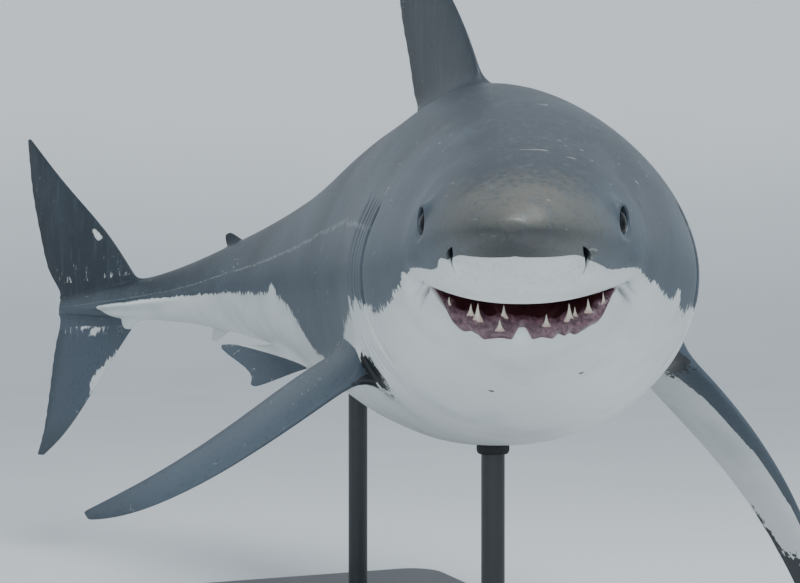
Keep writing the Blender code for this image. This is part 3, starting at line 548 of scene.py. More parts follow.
def shape_lips(body):
    """Let the snout and the jaw run smoothly into the lips and the corners of the mouth."""
    row, column = body.row, body.column

    def runs_in(vert):
        beyond = max(CORNER - vert[column], vert[column] - (RING_POINTS - CORNER))
        on_lip = vert[row] in (UPPER_LIP, UPPER_LIP + 1) and beyond <= 0
        return UPPER_LIP - 3 <= vert[row] < UPPER_LIP + 5 and beyond <= 2 and not on_lip

    select_where(body.bm, "VERT", runs_in)
    bpy.ops.mesh.vertices_smooth(factor=0.5, repeat=LIP_SMOOTHING)


def open_mouth(body):
    """Press the band between the lips back into the head as the mouth's cavity."""
    body.pick((UPPER_LIP, UPPER_LIP + 1), (CORNER, RING_POINTS - CORNER))
    width = 1
    for depth, step in enumerate(MOUTH_STEPS, 1):
        fresh = body.draw_out()
        row, column, mouth = body.row, body.column, body.mark("mouth")
        for vert in fresh:
            lift = step.roof if vert[row] == UPPER_LIP else step.floor
            turn = abs(lip_turn(vert[column]))
            vert.co.x *= step.width / width
            vert.co.y += step.back * TOTAL_LENGTH * (1 - turn / 2)
            vert.co.z += lift * TOTAL_LENGTH * (1 - turn * turn)
            vert[mouth] = depth
        width = step.width


def eye_outlook(side):
    """Return which way an eye looks on the straight body: out from the skin, but level."""
    row, column = EYE_AT
    rings = all_rings()
    across = rings[row][column - 1] - rings[row][column + 1]
    normal = (rings[row + 1][column] - rings[row - 1][column]).cross(across).normalized()
    normal *= math.copysign(1, normal.x)
    return Vector((side * normal.x, normal.y, 0)).normalized()


def draw_lids(body, column):
    """Draw an eye's round opening with its lids."""
    row = EYE_AT[0]
    grid = body.grid()
    middle = grid[row, column].co.copy()
    axis = eye_outlook(math.copysign(1, middle.x))
    rim = [grid[r, c] for r in range(row - 1, row + 2) for c in range(column - 1, column + 2)
           if (r, c) != (row, column)]
    for vert in rim:
        spoke = vert.co - middle
        vert.co = middle + spoke * (EYE_SPREAD / spoke.length)
    body.pick((row - 1, row + 1), (column - 1, column + 1))
    for radius, rise in LID_RINGS:
        for vert in body.draw_out():
            spoke = vert.co - middle
            spoke -= axis * spoke.dot(axis)
            reach = radius if spoke.length > EYE_SPREAD / 4 else 0
            vert.co = middle + axis * rise + spoke.normalized() * reach


def draw_nostril(body, left):
    """Draw one nostril's slit, wide at its upper end, with a flap along its front edge."""
    ahead, behind = NOSTRIL_RINGS
    first, last = NOSTRIL_POINTS if left else mirrored(NOSTRIL_POINTS)
    top = first if left else last
    grid = body.grid()
    lines = {}
    for column in range(first, last + 1):
        edges = grid[ahead, column].co.copy(), grid[behind, column].co.copy()
        lines[column] = ((edges[0] + edges[1]) / 2, (edges[0] - edges[1]).normalized())
    middles = [lines[column][0] for column in sorted(lines, key=lambda c: abs(c - top))]
    run = (middles[-1] - middles[0]).normalized()
    out = lines[top][1].cross(run).normalized()
    out = out if out.x * middles[0].x > 0 else -out
    body.pick(NOSTRIL_RINGS, (first, last))
    for depth, (rise, halves) in enumerate(NOSTRIL_RIMS):
        fresh = body.draw_out()
        row, column, nostril = body.row, body.column, body.mark("nostril")
        for vert in fresh:
            place = abs(vert[column] - top)
            middle, ahead_way = lines[vert[column]]
            front = vert[row] == ahead
            ends = {0: halves[0] * 0.8, 3: -halves[3]}.get(place, 0)
            vert.co = middle + run * ends + out * rise
            vert.co += ahead_way * (halves[place] if front else -halves[place])
            if depth < len(NOSTRIL_RIMS) - 1 and place < 2:
                vert.co += out * NOSTRIL_TURN[0 if front else 1]
            elif depth == 1 and front:
                lift, lap = NOSTRIL_FLAP
                vert.co += out * lift - ahead_way * lap
            vert[nostril] = max(depth - 1, 0)


def press_gills(body):
    """Cut the five gill slits into each side, running back under the skin."""
    for number in range(len(GILL_SLITS)):
        row = FIRST_GILL_RING + 3 * number
        for first, last in (GILL_POINTS, mirrored(GILL_POINTS)):
            grid = body.grid()
            for column in range(first + 1, last):
                edge = grid[row, column]
                outwards = Vector((edge.co.x, 0, edge.co.z)).normalized()
                edge.co += outwards * GILL_LIFT + BACK * GILL_LAP
            body.pick((row, row + 1), (first, last))
            fresh = body.draw_out()
            gill = body.mark("gill")
            for vert in fresh:
                inward = Vector((-vert.co.x, 0, -vert.co.z)).normalized()
                vert.co += inward * GILL_DEPTH + BACK * GILL_SLANT
                vert[gill] = 1


# ------------------------------------------------------------------ fins

# length: a share of the total length. thickness: metres, at the root.
# lead and trail: how far back each edge lies, in shares of the fin's length, along its span.
# droop: degrees below level at the root, and the degrees added towards the tip.
# pitch: degrees by which the trailing edge is raised at the root, and those added to the tip.
# sweep: how far the tip is swung back (or forward), in shares of the fin's length.
# splay: degrees by which the trailing edge is turned out in the fin's own plane.
# anchor: the share where a stiff paired fin joins the spine's turn.
Fin = namedtuple("Fin", "kind rows columns length thickness lead trail "
                        "droop pitch sweep splay anchor", defaults=((0, 0), 0, 0, None))

DORSAL_LEAD = ((0, 0.0), (0.25, 0.21), (0.5, 0.45), (0.75, 0.72), (0.92, 0.95), (1, 1.14))
DORSAL_TRAIL = ((0, 0.96), (0.08, 1.14), (0.25, 1.18), (0.5, 1.27), (0.75, 1.35), (0.92, 1.36),
                (1, 1.27))
LOW_LEAD = ((0, 0.0), (0.5, 0.62), (1, 1.36))
LOW_TRAIL = ((0, 1.5), (0.3, 1.85), (1, 1.95))
PECTORAL_LEAD = ((0, 0.0), (0.2, 0.045), (0.4, 0.115), (0.6, 0.205), (0.8, 0.33), (0.93, 0.44),
                 (1, 0.53))
PECTORAL_TRAIL = ((0, 0.335), (0.08, 0.40), (0.2, 0.385), (0.4, 0.375), (0.6, 0.405), (0.8, 0.475),
                  (0.93, 0.54), (1, 0.575))
PELVIC_LEAD = ((0, 0.0), (0.5, 0.40), (1, 0.93))
PELVIC_TRAIL = ((0, 1.8), (0.2, 3.95), (0.45, 2.0), (0.65, 1.28), (1, 1.22))
UPPER_LOBE_LEAD = ((0, 0.0), (0.29, 0.22), (0.50, 0.43), (0.67, 0.625), (0.9, 0.87), (1, 0.985))
UPPER_LOBE_TRAIL = ((0, 0.69), (0.10, 0.80), (0.36, 0.885), (0.53, 0.94), (0.77, 0.99),
                    (0.92, 1.01), (1, 1.02))
LOWER_LOBE_LEAD = ((0, 0.0), (0.20, 0.18), (0.62, 0.535), (0.85, 0.76), (1, 0.98))
LOWER_LOBE_TRAIL = ((0, 0.76), (0.16, 0.85), (0.43, 0.90), (0.73, 0.955), (0.92, 1.02), (1, 1.06))


def rows(first, last):
    """Return the numbers of two trunk rings."""
    return TRUNK_ROW[first], TRUNK_ROW[last]


TOP, BOTTOM = (-1, 1), (HALF - 1, HALF + 1)
UPRIGHT, HANGING = (-90, 0), (90, 0)
FINS = (
    Fin("upright", rows(0.358, 0.460), TOP, 0.105, 0.050, DORSAL_LEAD, DORSAL_TRAIL, UPRIGHT),
    Fin("upright", rows(0.708, 0.724), TOP, 0.0112, 0.012, LOW_LEAD, LOW_TRAIL, UPRIGHT),
    Fin("upright", rows(0.724, 0.741), BOTTOM, 0.011, 0.012, LOW_LEAD, LOW_TRAIL, HANGING),
    Fin("caudal", rows(0.824, 0.905), TOP, 0.131, 0.036, UPPER_LOBE_LEAD, UPPER_LOBE_TRAIL,
        UPRIGHT),
    Fin("caudal", rows(0.824, 0.905), BOTTOM, 0.113, 0.034, LOWER_LOBE_LEAD, LOWER_LOBE_TRAIL,
        HANGING),
    Fin("pectoral", rows(0.270, 0.336), (9, 12), 0.205, 0.056, PECTORAL_LEAD, PECTORAL_TRAIL,
        droop=(34, -7), pitch=(-8, -31), sweep=0.17, anchor=0.300),
    Fin("pectoral", rows(0.270, 0.336), mirrored((10, 13)), 0.166, 0.056, PECTORAL_LEAD,
        PECTORAL_TRAIL, droop=(35, 8), pitch=(10, 29), sweep=-0.25, anchor=0.300),
    *(Fin("pelvic", rows(0.572, 0.618), block, 0.032, 0.024, PELVIC_LEAD, PELVIC_TRAIL,
          droop=(34, 8), pitch=(8, 0), splay=16, anchor=0.594)
      for block in ((14, 16), mirrored((14, 16)))),
)
SMALL_FIN = 0.05              # share of the length below which a fin has few sections
SPANS = (0.05, 0.16, 0.30, 0.46, 0.62, 0.77, 0.89, 0.97, 1.0)
SMALL_FIN_SPANS = (0.2, 0.6, 1.0)
FIN_NOSE = 0.012              # how far the section's nose and heel reach along the chord
FIN_HEEL = 0.022
FIN_SPREAD = 1.3              # power that crowds the section's points towards its nose
FIN_TAPER = 0.86
TIP_TAPER = 0.06
ROOT_FLARE = 1.25
THINNEST_EDGE = 0.0024


def foil(c):
    """Return the half thickness of a fin's section at a share of its chord."""
    return 2 * (1.4845 * math.sqrt(c) - 0.63 * c - 1.758 * c ** 2 + 1.4215 * c ** 3
                - 0.5075 * c ** 4)


class FinPlan:
    """Where a fin stands on the straight body and which way it points."""

    def __init__(self, body, fin):
        self.fin = fin
        first, last = fin.rows
        left, right = (column % RING_POINTS for column in fin.columns)
        grid = body.grid()
        self.lead_root = (grid[first, left].co + grid[first, right].co) / 2
        self.trail_root = (grid[last, left].co + grid[last, right].co) / 2
        self.across_root = grid[first, right].co - grid[first, left].co
        self.side = 0 if fin.anchor is None else math.copysign(1, self.lead_root.x)
        if fin.anchor is None:
            self.lead_root.z = grid[first, right - 1].co.z
            self.trail_root.z = grid[last, right - 1].co.z
        self.length = fin.length * TOTAL_LENGTH
        self.small = fin.length < SMALL_FIN
        self.spans = SMALL_FIN_SPANS if self.small else SPANS

    def axes(self, span):
        """Return the outward, tailward and across directions at a share of the span."""
        droop, pitch = (math.radians(root + added * span)
                        for root, added in (self.fin.droop, self.fin.pitch))
        splay = math.radians(self.fin.splay)
        out = Vector((self.side * math.cos(droop), 0, -math.sin(droop)))
        above = Vector((self.side * math.sin(droop), 0, math.cos(droop)))
        along = (self.trail_root - self.lead_root).normalized() if self.small else BACK
        tailward = along * math.cos(pitch) * math.cos(splay) + above * math.sin(pitch)
        tailward = tailward + out * math.sin(splay)
        across = out.cross(tailward).normalized()
        return out, tailward, across if across.dot(self.across_root) > 0 else -across

    def edges(self, span, steps=12):
        """Return the fin's leading and trailing points at a share of the span."""
        axis = self.lead_root.copy()
        for step in range(steps):
            out, _, _ = self.axes(span * (step + 0.5) / steps)
            axis += out * self.length * span / steps
        _, tailward, _ = self.axes(span)
        lead, trail = (smooth_curve(edge)(span) + self.fin.sweep * span
                       for edge in (self.fin.lead, self.fin.trail))
        return axis + tailward * self.length * lead, axis + tailward * self.length * trail

    def half_thickness(self, span):
        """Return half the thickness of the fin at a share of the span."""
        flare = ROOT_FLARE if span == self.spans[0] else 1
        taper = TIP_TAPER if span == 1 else max(1 - FIN_TAPER * span, TIP_TAPER)
        return self.fin.thickness * taper * flare / 2


def grow_fin(body, fin):
    """Draw a fin out of its block of faces, one section after another."""
    plan = FinPlan(body, fin)
    first, last = fin.rows
    width = fin.columns[1] - fin.columns[0]
    body.pick(fin.rows, fin.columns)
    for span in plan.spans:
        start, end = plan.edges(span)
        _, _, across = plan.axes(span)
        fresh = body.draw_out()
        row, column = body.row, body.column
        marks = {name: body.mark(name) for name in FLOAT_MARKS}
        for vert in fresh:
            share = (vert[row] - first) / (last - first)
            swing = 2 * ((vert[column] - fin.columns[0]) % RING_POINTS) / width - 1
            chord = FIN_NOSE + (1 - FIN_NOSE - FIN_HEEL) * share ** FIN_SPREAD
            half = max(plan.half_thickness(span) * foil(chord), THINNEST_EDGE / 2)
            if share == 0:
                chord *= abs(swing)
            if share == 1:
                chord = 1 - FIN_HEEL * abs(swing)
            vert.co = start.lerp(end, chord) + across * (half * swing)
            vert[marks["stiff"]] = 0 if fin.anchor is None else 1
            vert[marks["anchor"]] = fin.anchor or 0
            vert[marks[fin.kind]] = 1
            vert[marks["span"]] = span
            vert[marks["chord"]] = chord
            vert[marks["face"]] = swing * plan.side


# ------------------------------------------------------------------ the pose

def make_spine(samples=400):
    """Return the spine's middle line as arrays of stations and positions."""
    stations = np.linspace(0, 1, samples + 1)
    turns = np.radians(heading(stations))
    step = TOTAL_LENGTH / samples
    across = np.concatenate([[0], np.cumsum(-(np.sin(turns[1:]) + np.sin(turns[:-1])) / 2 * step)])
    along = np.concatenate([[0], np.cumsum((np.cos(turns[1:]) + np.cos(turns[:-1])) / 2 * step)])
    return stations, across, along


SPINE_LINE = make_spine()


def turn_points(points, at):
    """Carry points of the straight body into the turn, each square to the spine at a share."""
    at = np.clip(at, 0, 1)
    turn = np.radians(heading(at))
    stations, across, along = SPINE_LINE
    left = np.stack([np.cos(turn), np.sin(turn)], axis=-1)
    back = np.stack([-np.sin(turn), np.cos(turn)], axis=-1)
    middle = np.stack([np.interp(at, stations, across), np.interp(at, stations, along)], axis=-1)
    beyond = points[..., 1] - at * TOTAL_LENGTH
    level = middle + left * points[..., :1] + back * beyond[..., None]
    height = points[..., 2] + spine_height(at)
    return np.concatenate([level, height[..., None]], axis=-1)


def rod_place(at):
    """Return where a rod's axis meets the belly."""
    spot = np.array([0, at, belly_height(at)]) * TOTAL_LENGTH
    return Vector(turn_points(spot, at))


def find_shift():
    """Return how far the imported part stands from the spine's own place."""
    low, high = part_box("stand_rod_front")
    top = Vector(((low.x + high.x) / 2, (low.y + high.y) / 2, high.z))
    return top - rod_place(ROD_AT[0]) - UP * ROD_DEPTH


SHIFT = find_shift()


def pose(point):
    """Carry a point of the straight body to its place in the part."""
    spot = np.array(point, float)
    return Vector(turn_points(spot, spot[1] / TOTAL_LENGTH)) + SHIFT


# ------------------------------------------------------------------ shader maths

class Value:
    """A socket of a material's nodes, which is added, multiplied and so on like a number."""

    def __init__(self, mixer, socket):
        self.mixer = mixer
        self.socket = socket

    def __add__(self, other):
        return self.mixer.maths("ADD", self, other)

    def __sub__(self, other):
        return self.mixer.maths("SUBTRACT", self, other)

    def __rsub__(self, other):
        return self.mixer.maths("SUBTRACT", other, self)

    def __mul__(self, other):
        return self.mixer.maths("MULTIPLY", self, other)

    def __abs__(self):
        return self.mixer.maths("ABSOLUTE", self)

    __radd__ = __add__
    __rmul__ = __mul__


class Mixer:
    """A material while its nodes are laid out."""

    def __init__(self, name):
        self.material = bpy.data.materials.new(name)
        self.material.use_nodes = True
        self.tree = self.material.node_tree
        self.shader = self.tree.nodes["Principled BSDF"]

    def node(self, kind, settings, values, out=0):
        """Add a node, set it up, feed its sockets and return one of its results."""
        made = self.tree.nodes.new(kind)
        for name, value in settings.items():
            setattr(made, name, value)
        for name, value in values.items():
            self.feed(made.inputs[name], value)
        return Value(self, made.outputs[out])

    def feed(self, socket, value):
        """Link a result to a socket, or set the socket."""
        if isinstance(value, Value):
            self.tree.links.new(value.socket, socket)
        elif hasattr(value, "__len__") and len(socket.default_value) == 4 and len(value) == 3:
            socket.default_value = (*value, 1)
        else:
            socket.default_value = value

    def maths(self, operation, first, second=0.0):
        """Work out one sum of two values."""
        return self.node("ShaderNodeMath", {"operation": operation}, {0: first, 1: second})

    def blend(self, factor, first, second):
        """Blend two colours by a factor."""
        values = {0: factor, 6: first, 7: second}
        return self.node("ShaderNodeMix", {"data_type": "RGBA"}, values, 2)

    def lay(self, colour, *coats):
        """Lay coats over a colour one after another, each a cover from 0 to 1 and a colour."""
        for cover, over in coats:
            colour = self.blend(cover, colour, over)
        return colour

    def step(self, value, low, high):
        """Run smoothly from 0 to 1 as a value goes from low to high."""
        settings = {"interpolation_type": "SMOOTHSTEP"}
        return self.node("ShaderNodeMapRange", settings, {0: value, 1: low, 2: high})

    def mark(self, name):
        """Read one of the piece's own marks."""
        return self.node("ShaderNodeAttribute", {"attribute_name": name}, {}, "Fac")

    def place(self):
        """Read the place on the piece."""
        return self.node("ShaderNodeTexCoord", {}, {}, "Object")

    def stretch(self, where, factors):
        """Return a place drawn out along its axes."""
        return self.node("ShaderNodeVectorMath", {"operation": "MULTIPLY"}, {0: where, 1: factors})

    def near(self, where, spot):
        """Return the distance from one spot."""
        return self.node("ShaderNodeVectorMath", {"operation": "DISTANCE"}, {0: where, 1: spot}, 1)

    def cells(self, where, scale):
        """Return the distance from the nearest of many scattered spots."""
        return self.node("ShaderNodeTexVoronoi", {}, {"Vector": where, "Scale": scale}, "Distance")

    def noise(self, where, scale, detail=3.0, rough=0.5):
        """Return soft random values over a place."""
        values = {"Vector": where, "Scale": scale, "Detail": detail, "Roughness": rough}
        return self.node("ShaderNodeTexNoise", {}, values, "Fac")

    def bump(self, height, depth):
        """Return the surface raised by a height."""
        return self.node("ShaderNodeBump", {}, {"Height": height, "Distance": depth})

    def finish(self, **values):
        """Feed the shader's own sockets and return the material."""
        for name, value in values.items():
            self.feed(self.shader.inputs[name.replace("_", " ").title()], value)
        return self.material


# ------------------------------------------------------------------ settings

def tint(red, green, blue):
    """Return a screen colour, in steps of 255, as the light it stands for."""
    return tuple((c / 255 / 12.92) if c <= 10 else ((c / 255 + 0.055) / 1.055) ** 2.4
                 for c in (red, green, blue))


def colour(name, about, value):
    """Return a colour that a user can change."""
    return FloatVectorProperty(name=name, description=about, default=value, subtype="COLOR",
                               size=3, min=0, max=1)


def length(name, about, value):
    """Return a length that a user can change."""
    return FloatProperty(name=name, description=about, default=value, min=0, unit="LENGTH",
                         precision=4)


class SharkSkinSettings(bpy.types.PropertyGroup):
    """The skin's colours and relief."""
    back: colour("Back", "Colour of the back", tint(32, 42, 51))
    flank: colour("Flank", "Colour of the flank above the border", tint(67, 80, 91))
    cast: colour("Cast", "Warmer colour of the snout and of patches on the back", tint(84, 83, 74))
    belly: colour("Belly", "Colour of the belly", tint(214, 219, 219))
    stain: colour("Stain", "Colour of the belly's faint stains", tint(186, 193, 192))
    # Also painted shade under the snout's tip, in the mouth's creases and inside the slits.
    black: colour("Black", "Colour of the fin tips and of the patches behind the fins",
                  tint(30, 35, 41))
    lining: colour("Lining", "Colour of the mouth's lining", tint(150, 96, 104))
    relief: length("Relief", "Height of the skin's fine relief", 0.0004)


class SharkEyeSettings(bpy.types.PropertyGroup):
    """The eyes' colour and size."""
    iris: colour("Iris", "Colour of the iris", (0.004, 0.005, 0.007))
    iris_light: colour("Iris threads", "Colour of the iris's paler threads", (0.016, 0.018, 0.022))
    white: colour("Outer eye", "Colour of the eye outside the iris", (0.010, 0.011, 0.013))
    radius: length("Radius", "Radius of an eyeball", 0.030)
    thickness: length("Thickness", "Half the thickness of a flattened eyeball", 0.020)


class SharkMouthSettings(bpy.types.PropertyGroup):
    """The colours of the gum and the teeth."""
    gum: colour("Gum", "Colour of the gum", tint(72, 47, 58))
    gum_deep: colour("Gum creases", "Colour of the gum's creases", tint(40, 24, 32))
    gum_pale: colour("Gum folds", "Colour of the gum's paler folds", tint(120, 90, 100))
    tooth: colour("Tooth", "Colour of a tooth", tint(212, 206, 190))
    root: colour("Tooth root", "Colour of a tooth near the gum", tint(176, 146, 138))


class SharkStandSettings(bpy.types.PropertyGroup):
    """The stand's finish."""
    paint: colour("Paint", "Colour of the stand", tint(40, 43, 46))
    paint_light: colour("Worn paint", "Colour of the paint's lighter places", tint(56, 60, 64))
    dust: colour("Dust", "Colour of the fine dust on the stand", tint(120, 120, 116))
    rubber: colour("Rubber", "Colour of the pads under the belly", tint(24, 25, 27))
    rod_radius: length("Rod radius", "Radius of a rod", 0.030)


class SharkStageSettings(bpy.types.PropertyGroup):
    """The studio's floor, lamps and camera."""
    floor: colour("Floor", "Colour of the floor and backdrop", tint(226, 230, 233))
    floor_shade: colour("Floor shade", "Colour of the floor's darker places", tint(214, 219, 223))
    daylight: FloatProperty(name="Daylight", description="Strength of the light from all round",
                            default=0.70, min=0)
    wall_glow: FloatProperty(name="Wall glow", description="Strength of the lit wall's own light",
                             default=0.36, min=0)
    lens: FloatProperty(name="Lens", description="Focal length of the camera in millimetres",
                        default=66.465, min=1)


# ------------------------------------------------------------------ the skin

# Where the grey back ends, as an angle from the back, along the body.
BORDER = ((0, 200), (0.016, 185), (0.020, 160), (0.026, 138), (0.032, 126), (0.045, 121),
          (0.062, 117), (0.075, 109), (0.092, 103), (0.12, 104), (0.15, 108), (0.19, 101),
          (0.235, 99), (0.27, 104), (0.32, 108), (0.40, 117), (0.45, 123), (0.482, 121),
          (0.508, 112), (0.546, 98), (0.58, 96), (0.645, 96), (0.685, 91), (0.72, 92),
          (0.763, 87), (0.81, 82), (0.85, 84), (0.90, 86))
# Where the white runs up into the grey: share, degrees, width, and 1 for the left side.
SPIKES = ((0.149, 11, 0.0045, 1), (0.113, 4, 0.003, 1), (0.572, 15, 0.004, -1),
          (0.262, 7, 0.006, -1), (0.103, 5, 0.005, -1), (0.048, 6, 0.005, -1))
AXIL_PATCH = ((0.283, 125), (0.032, 12))   # middle and reach: share, angle from the back
# Where the white under the tail stock ends in a point: its share at the side, by how much it lies
# further ahead under the belly, and over what share and how many degrees it fades.
STOCK_WEDGE = (0.862, 0.024, 0.020, 220)
STOCK_SIDE = 75               # degrees from the back
# How many degrees past the border a fin's face counts as.
BAND_TIDE = (-20, 30)         # the grey band along a pectoral's front edge, and what its rear adds
LEADING_BAND = (0.34, 0.07)   # the band's share of the chord, at the root and at the tip
PECTORAL_TIDE = 34            # less above and more below, by the face
PELVIC_TIDE = (22, -6)        # for the face, and for both faces
UPRIGHT_TIDE = (-40, 20)      # above and below the body
CAUDAL_TIDE = -30
CAUDAL_REACH = 0.09           # share of the span over which the tail's fin turns grey
# Black under the pectorals: each row has the place where it starts and over what it grows.
PECTORAL_TIP = (0.77, 0.10)   # span
PECTORAL_RIM = (0.90, 0.07)   # chord
PECTORAL_RIM_SPAN = (0.45, 0.25)
PECTORAL_ROOT = (0.13, 0.12, 0.34)   # span, and the chord's middle and reach
EDGE_CHORD = (0.80, 0.2, 0.7)   # where the fins darken towards their edges, over what, how much
EDGE_SPAN = (0.70, 0.3, 0.8)
RAGGED_FRONT = (0.40, 0.28, 0.16)   # the lower lobe's pale front: span, reach and widest chord
CAUDAL_PALE = (0.46, 0.62, 0.12)   # the tail's pale root: how much, its reach, and all over
CAUDAL_SPOTS = ((0.32, 0.12, True), (0.06, 0.44, False))   # span, chord and whether it is above
SPOT_REACH = (0.035, 0.055)
# Two small dark specks on the throat: places in the part and radii.
THROAT_SPECKS = (((0.324, -1.160, 0.842), 0.0075), ((0.488, -1.256, 0.882), 0.0065))

FORK_START = 0.896            # share behind which the fork of the tail is evened out
FORK_REACH = 0.017            # share above and below the middle that this takes in
FORK_SMOOTHING = 4            # passes
FORK_PUSH = (0.031, 0.075)    # how far back the fork's edge is filled out, and its half height
FORK_FILL = (0.875, 0.03)     # share where the filling starts, and over what it grows
EDGE_WEAR = 0.0030            # how deep the fins' trailing edges are nicked
EDGE_WAVES = ((61, 0), (103, 2), (167, 4))   # pitch and start of the nicks' waves
WORN_CHORD = (0.78, 0.22)     # where the nicks start along the chord, and over what they grow
WORN_SPAN = (0.08, 0.97)

HEAD_END = 0.125              # share of the length up to which the mesh is finest
SNOUT_POLE = 0.010            # share of the length up to which the snout's pole is evened out
SNOUT_SMOOTHING = 30          # passes
HEAD_REACH = 0.2              # share of the length ahead of which the head is carved
NOSE_RIM = (0.036, 0.012, 0.0030)    # radius, width and depth of the rim round the nose's knob
NOSE_TOP = (-0.03, 0.06)      # height from which the rim shows, and over what it grows
NOSE_END = 0.03               # share of the length behind which nothing is pressed
CHIN_PEAK = (0.0115, 0.021, 0.024)   # half width, height and reach of the lower lip's middle peak
CHIN_DEPTH = 0.045
CHIN_LEAN = 0.25              # how far the peak leans back, as a share of its height
# Round a turn of the lower lip: offset, radii and push of a swelling on each side.
CHEEKS = (
    (0.70, (0.000, 0.008, -0.040), (0.034, 0.060, 0.030), (0.007, -0.006, 0.000)),
    (0.80, (0.010, 0.010, 0.034), (0.030, 0.050, 0.022), (0.005, -0.003, 0.000)),
)
# The crease below the left corner of the mouth: places on the skin, in shares.
CORNER_CREASE = ((0.0373, 0.0855, -0.0187), (0.0412, 0.0975, -0.0218), (0.0438, 0.1050, -0.0249))
CREASE_WIDTH = 0.0062         # half its width
CREASE_DEPTH = 0.0085
CREASE_VIEW = np.array((1, 0.4, 1))   # how much of each axis counts in the distance from a crease


def read_marks(mesh):
    """Return every mark of the dense skin as an array."""
    found = {}
    for name in FLOAT_MARKS:
        values = np.zeros(len(mesh.vertices), np.float32)
        mesh.attributes[name].data.foreach_get("value", values)
        found[name] = values.astype(float)
    return found


def patch_cover(away):
    """Return how strongly a patch shows at distances from its middle."""
    return np.clip(1.5 - away, 0, 1.5)


def border_tide(points, marks, at, parts):
    """Return how many degrees each point lies past the border of the grey, in the white."""
    pectoral, pelvic, _, upright = parts
    angle = marks["round"] * 180
    span, chord, lower = marks["span"], marks["chord"], marks["face"]
    tide = angle - smooth_curve(BORDER)(at)
    for place, height, width, side in SPIKES:
        tide += height * np.exp(-((at - place) / width) ** 2) * (points[:, 0] * side > 0)
    root, tip = LEADING_BAND
    front = root + (tip - root) * np.clip(span, 0, 1) ** 0.6
    start, slant, fade, drop = STOCK_WEDGE
    wedge = start - slant * (angle - STOCK_SIDE) / STOCK_SIDE
    tide -= drop * ease((at - wedge) / fade)
    band = BAND_TIDE[0] + BAND_TIDE[1] * (chord / front) ** 4
    banded = (chord < front) & (lower > -0.5)
    tide = np.where(pectoral, np.where(banded, band, PECTORAL_TIDE * lower), tide)
    tide = np.where(pelvic, PELVIC_TIDE[0] * lower + PELVIC_TIDE[1], tide)
    tide = np.where(upright, np.where(points[:, 2] > 0, *UPRIGHT_TIDE), tide)
    grown = tide - (tide - CAUDAL_TIDE) * ease(span / CAUDAL_REACH)
    return np.where(marks["caudal"] > 0, grown, tide)


def black_patches(marks, at, parts):
    """Return where the skin is black: behind and under the pectorals and on the pelvics."""
    pectoral, pelvic, caudal, upright = parts
    span, chord, lower = marks["span"], marks["chord"], marks["face"]
    centre, reach = AXIL_PATCH
    away = np.hypot((at - centre[0]) / reach[0], (marks["round"] * 180 - centre[1]) / reach[1])
    black = np.where(pectoral | pelvic | caudal | upright, 0, patch_cover(away))
    tip = np.clip((span + 0.10 * chord - PECTORAL_TIP[0]) / PECTORAL_TIP[1], 0, 1.5)
    rim = np.clip((chord - PECTORAL_RIM[0] + 0.08 * span) / PECTORAL_RIM[1], 0, 1)
    rim = rim * ease((span - PECTORAL_RIM_SPAN[0]) / PECTORAL_RIM_SPAN[1]) * 0.85
    along, middle, width = PECTORAL_ROOT
    root = patch_cover(np.hypot(span / along, (chord - middle) / width))
    below = np.maximum(np.maximum(tip, rim), root)
    black = np.where(pectoral & (lower > 0), below, black)
    return np.where(pelvic & (lower > 0), 0.6 * np.clip((chord - 0.5) / 0.5, 0, 1), black)


def dark_edges(marks, parts):
    """Return how dark the large fins are towards their rear edges and tips."""
    pectoral, _, caudal, upright = parts
    edges = [most * ease((marks[name] - start) / over)
             for name, (start, over, most) in (("chord", EDGE_CHORD), ("span", EDGE_SPAN))]
    return np.maximum(*edges) * (pectoral | caudal | upright)


def pale_patches(points, marks, parts):
    """Return where the tail's fin and the tops of the pelvic fins are pale."""
    _, pelvic, caudal, _ = parts
    span, chord, lower = marks["span"], marks["chord"], marks["face"]
    middle, reach, widest = RAGGED_FRONT
    low_front = (chord < widest) & (points[:, 2] < 0)
    ragged = np.clip(1.25 - np.abs(span - middle) / reach - 3.5 * chord, 0, 1)
    most, reach, least = CAUDAL_PALE
    root = most * np.clip(1 - span / reach, 0, 1) + least
    pale = np.where(caudal, np.maximum(np.where(low_front, ragged, 0), root), 0)
    for span_at, chord_at, upper in CAUDAL_SPOTS:
        spot = 1.6 - np.hypot((span - span_at) / SPOT_REACH[0], (chord - chord_at) / SPOT_REACH[1])
        pale = np.where(caudal & ((points[:, 2] > 0) == upper), np.maximum(pale, spot), pale)
    return np.where(pelvic & (lower < 0), 0.52 * np.clip((chord - 0.2) / 0.5, 0, 1), pale)


def paint_crease_shade(points, marks, at):
    """Return how strongly painted shade darkens the creases by the corners of the mouth."""
    fold = np.zeros(len(points))
    for side in (-1, 1):
        away, along = line_distance(points, corner_crease(side))
        deep = np.exp(-(away / (0.8 * CREASE_WIDTH)) ** 2) * np.clip(1.3 * (1 - along), 0, 1)
        fold = np.maximum(fold, deep * (marks["mouth"] < 0.5) * (at < HEAD_REACH))
    return fold


def mark_colours(mesh, points, marks):
    """Mark where the skin's colours lie: the white, the black and the pale patches."""
    at = points[:, 1] / TOTAL_LENGTH
    parts = [marks[name] > 0.5 for name in ("pectoral", "pelvic", "caudal", "upright")]
    write_mark(mesh, "share", at)
    write_mark(mesh, "tide", border_tide(points, marks, at, parts))
    write_mark(mesh, "black", black_patches(marks, at, parts))
    write_mark(mesh, "edge", dark_edges(marks, parts))
    write_mark(mesh, "pale", pale_patches(points, marks, parts))
    write_mark(mesh, "fold", paint_crease_shade(points, marks, at))


def smooth_fork(body):
    """Let the end of the tail run smoothly into the two lobes of its fin."""
    select_where(body.bm, "VERT", lambda vert: (vert.co.y > FORK_START * TOTAL_LENGTH
                                                and abs(vert.co.z) < FORK_REACH * TOTAL_LENGTH))
    bpy.ops.mesh.vertices_smooth(factor=0.5, repeat=FORK_SMOOTHING)


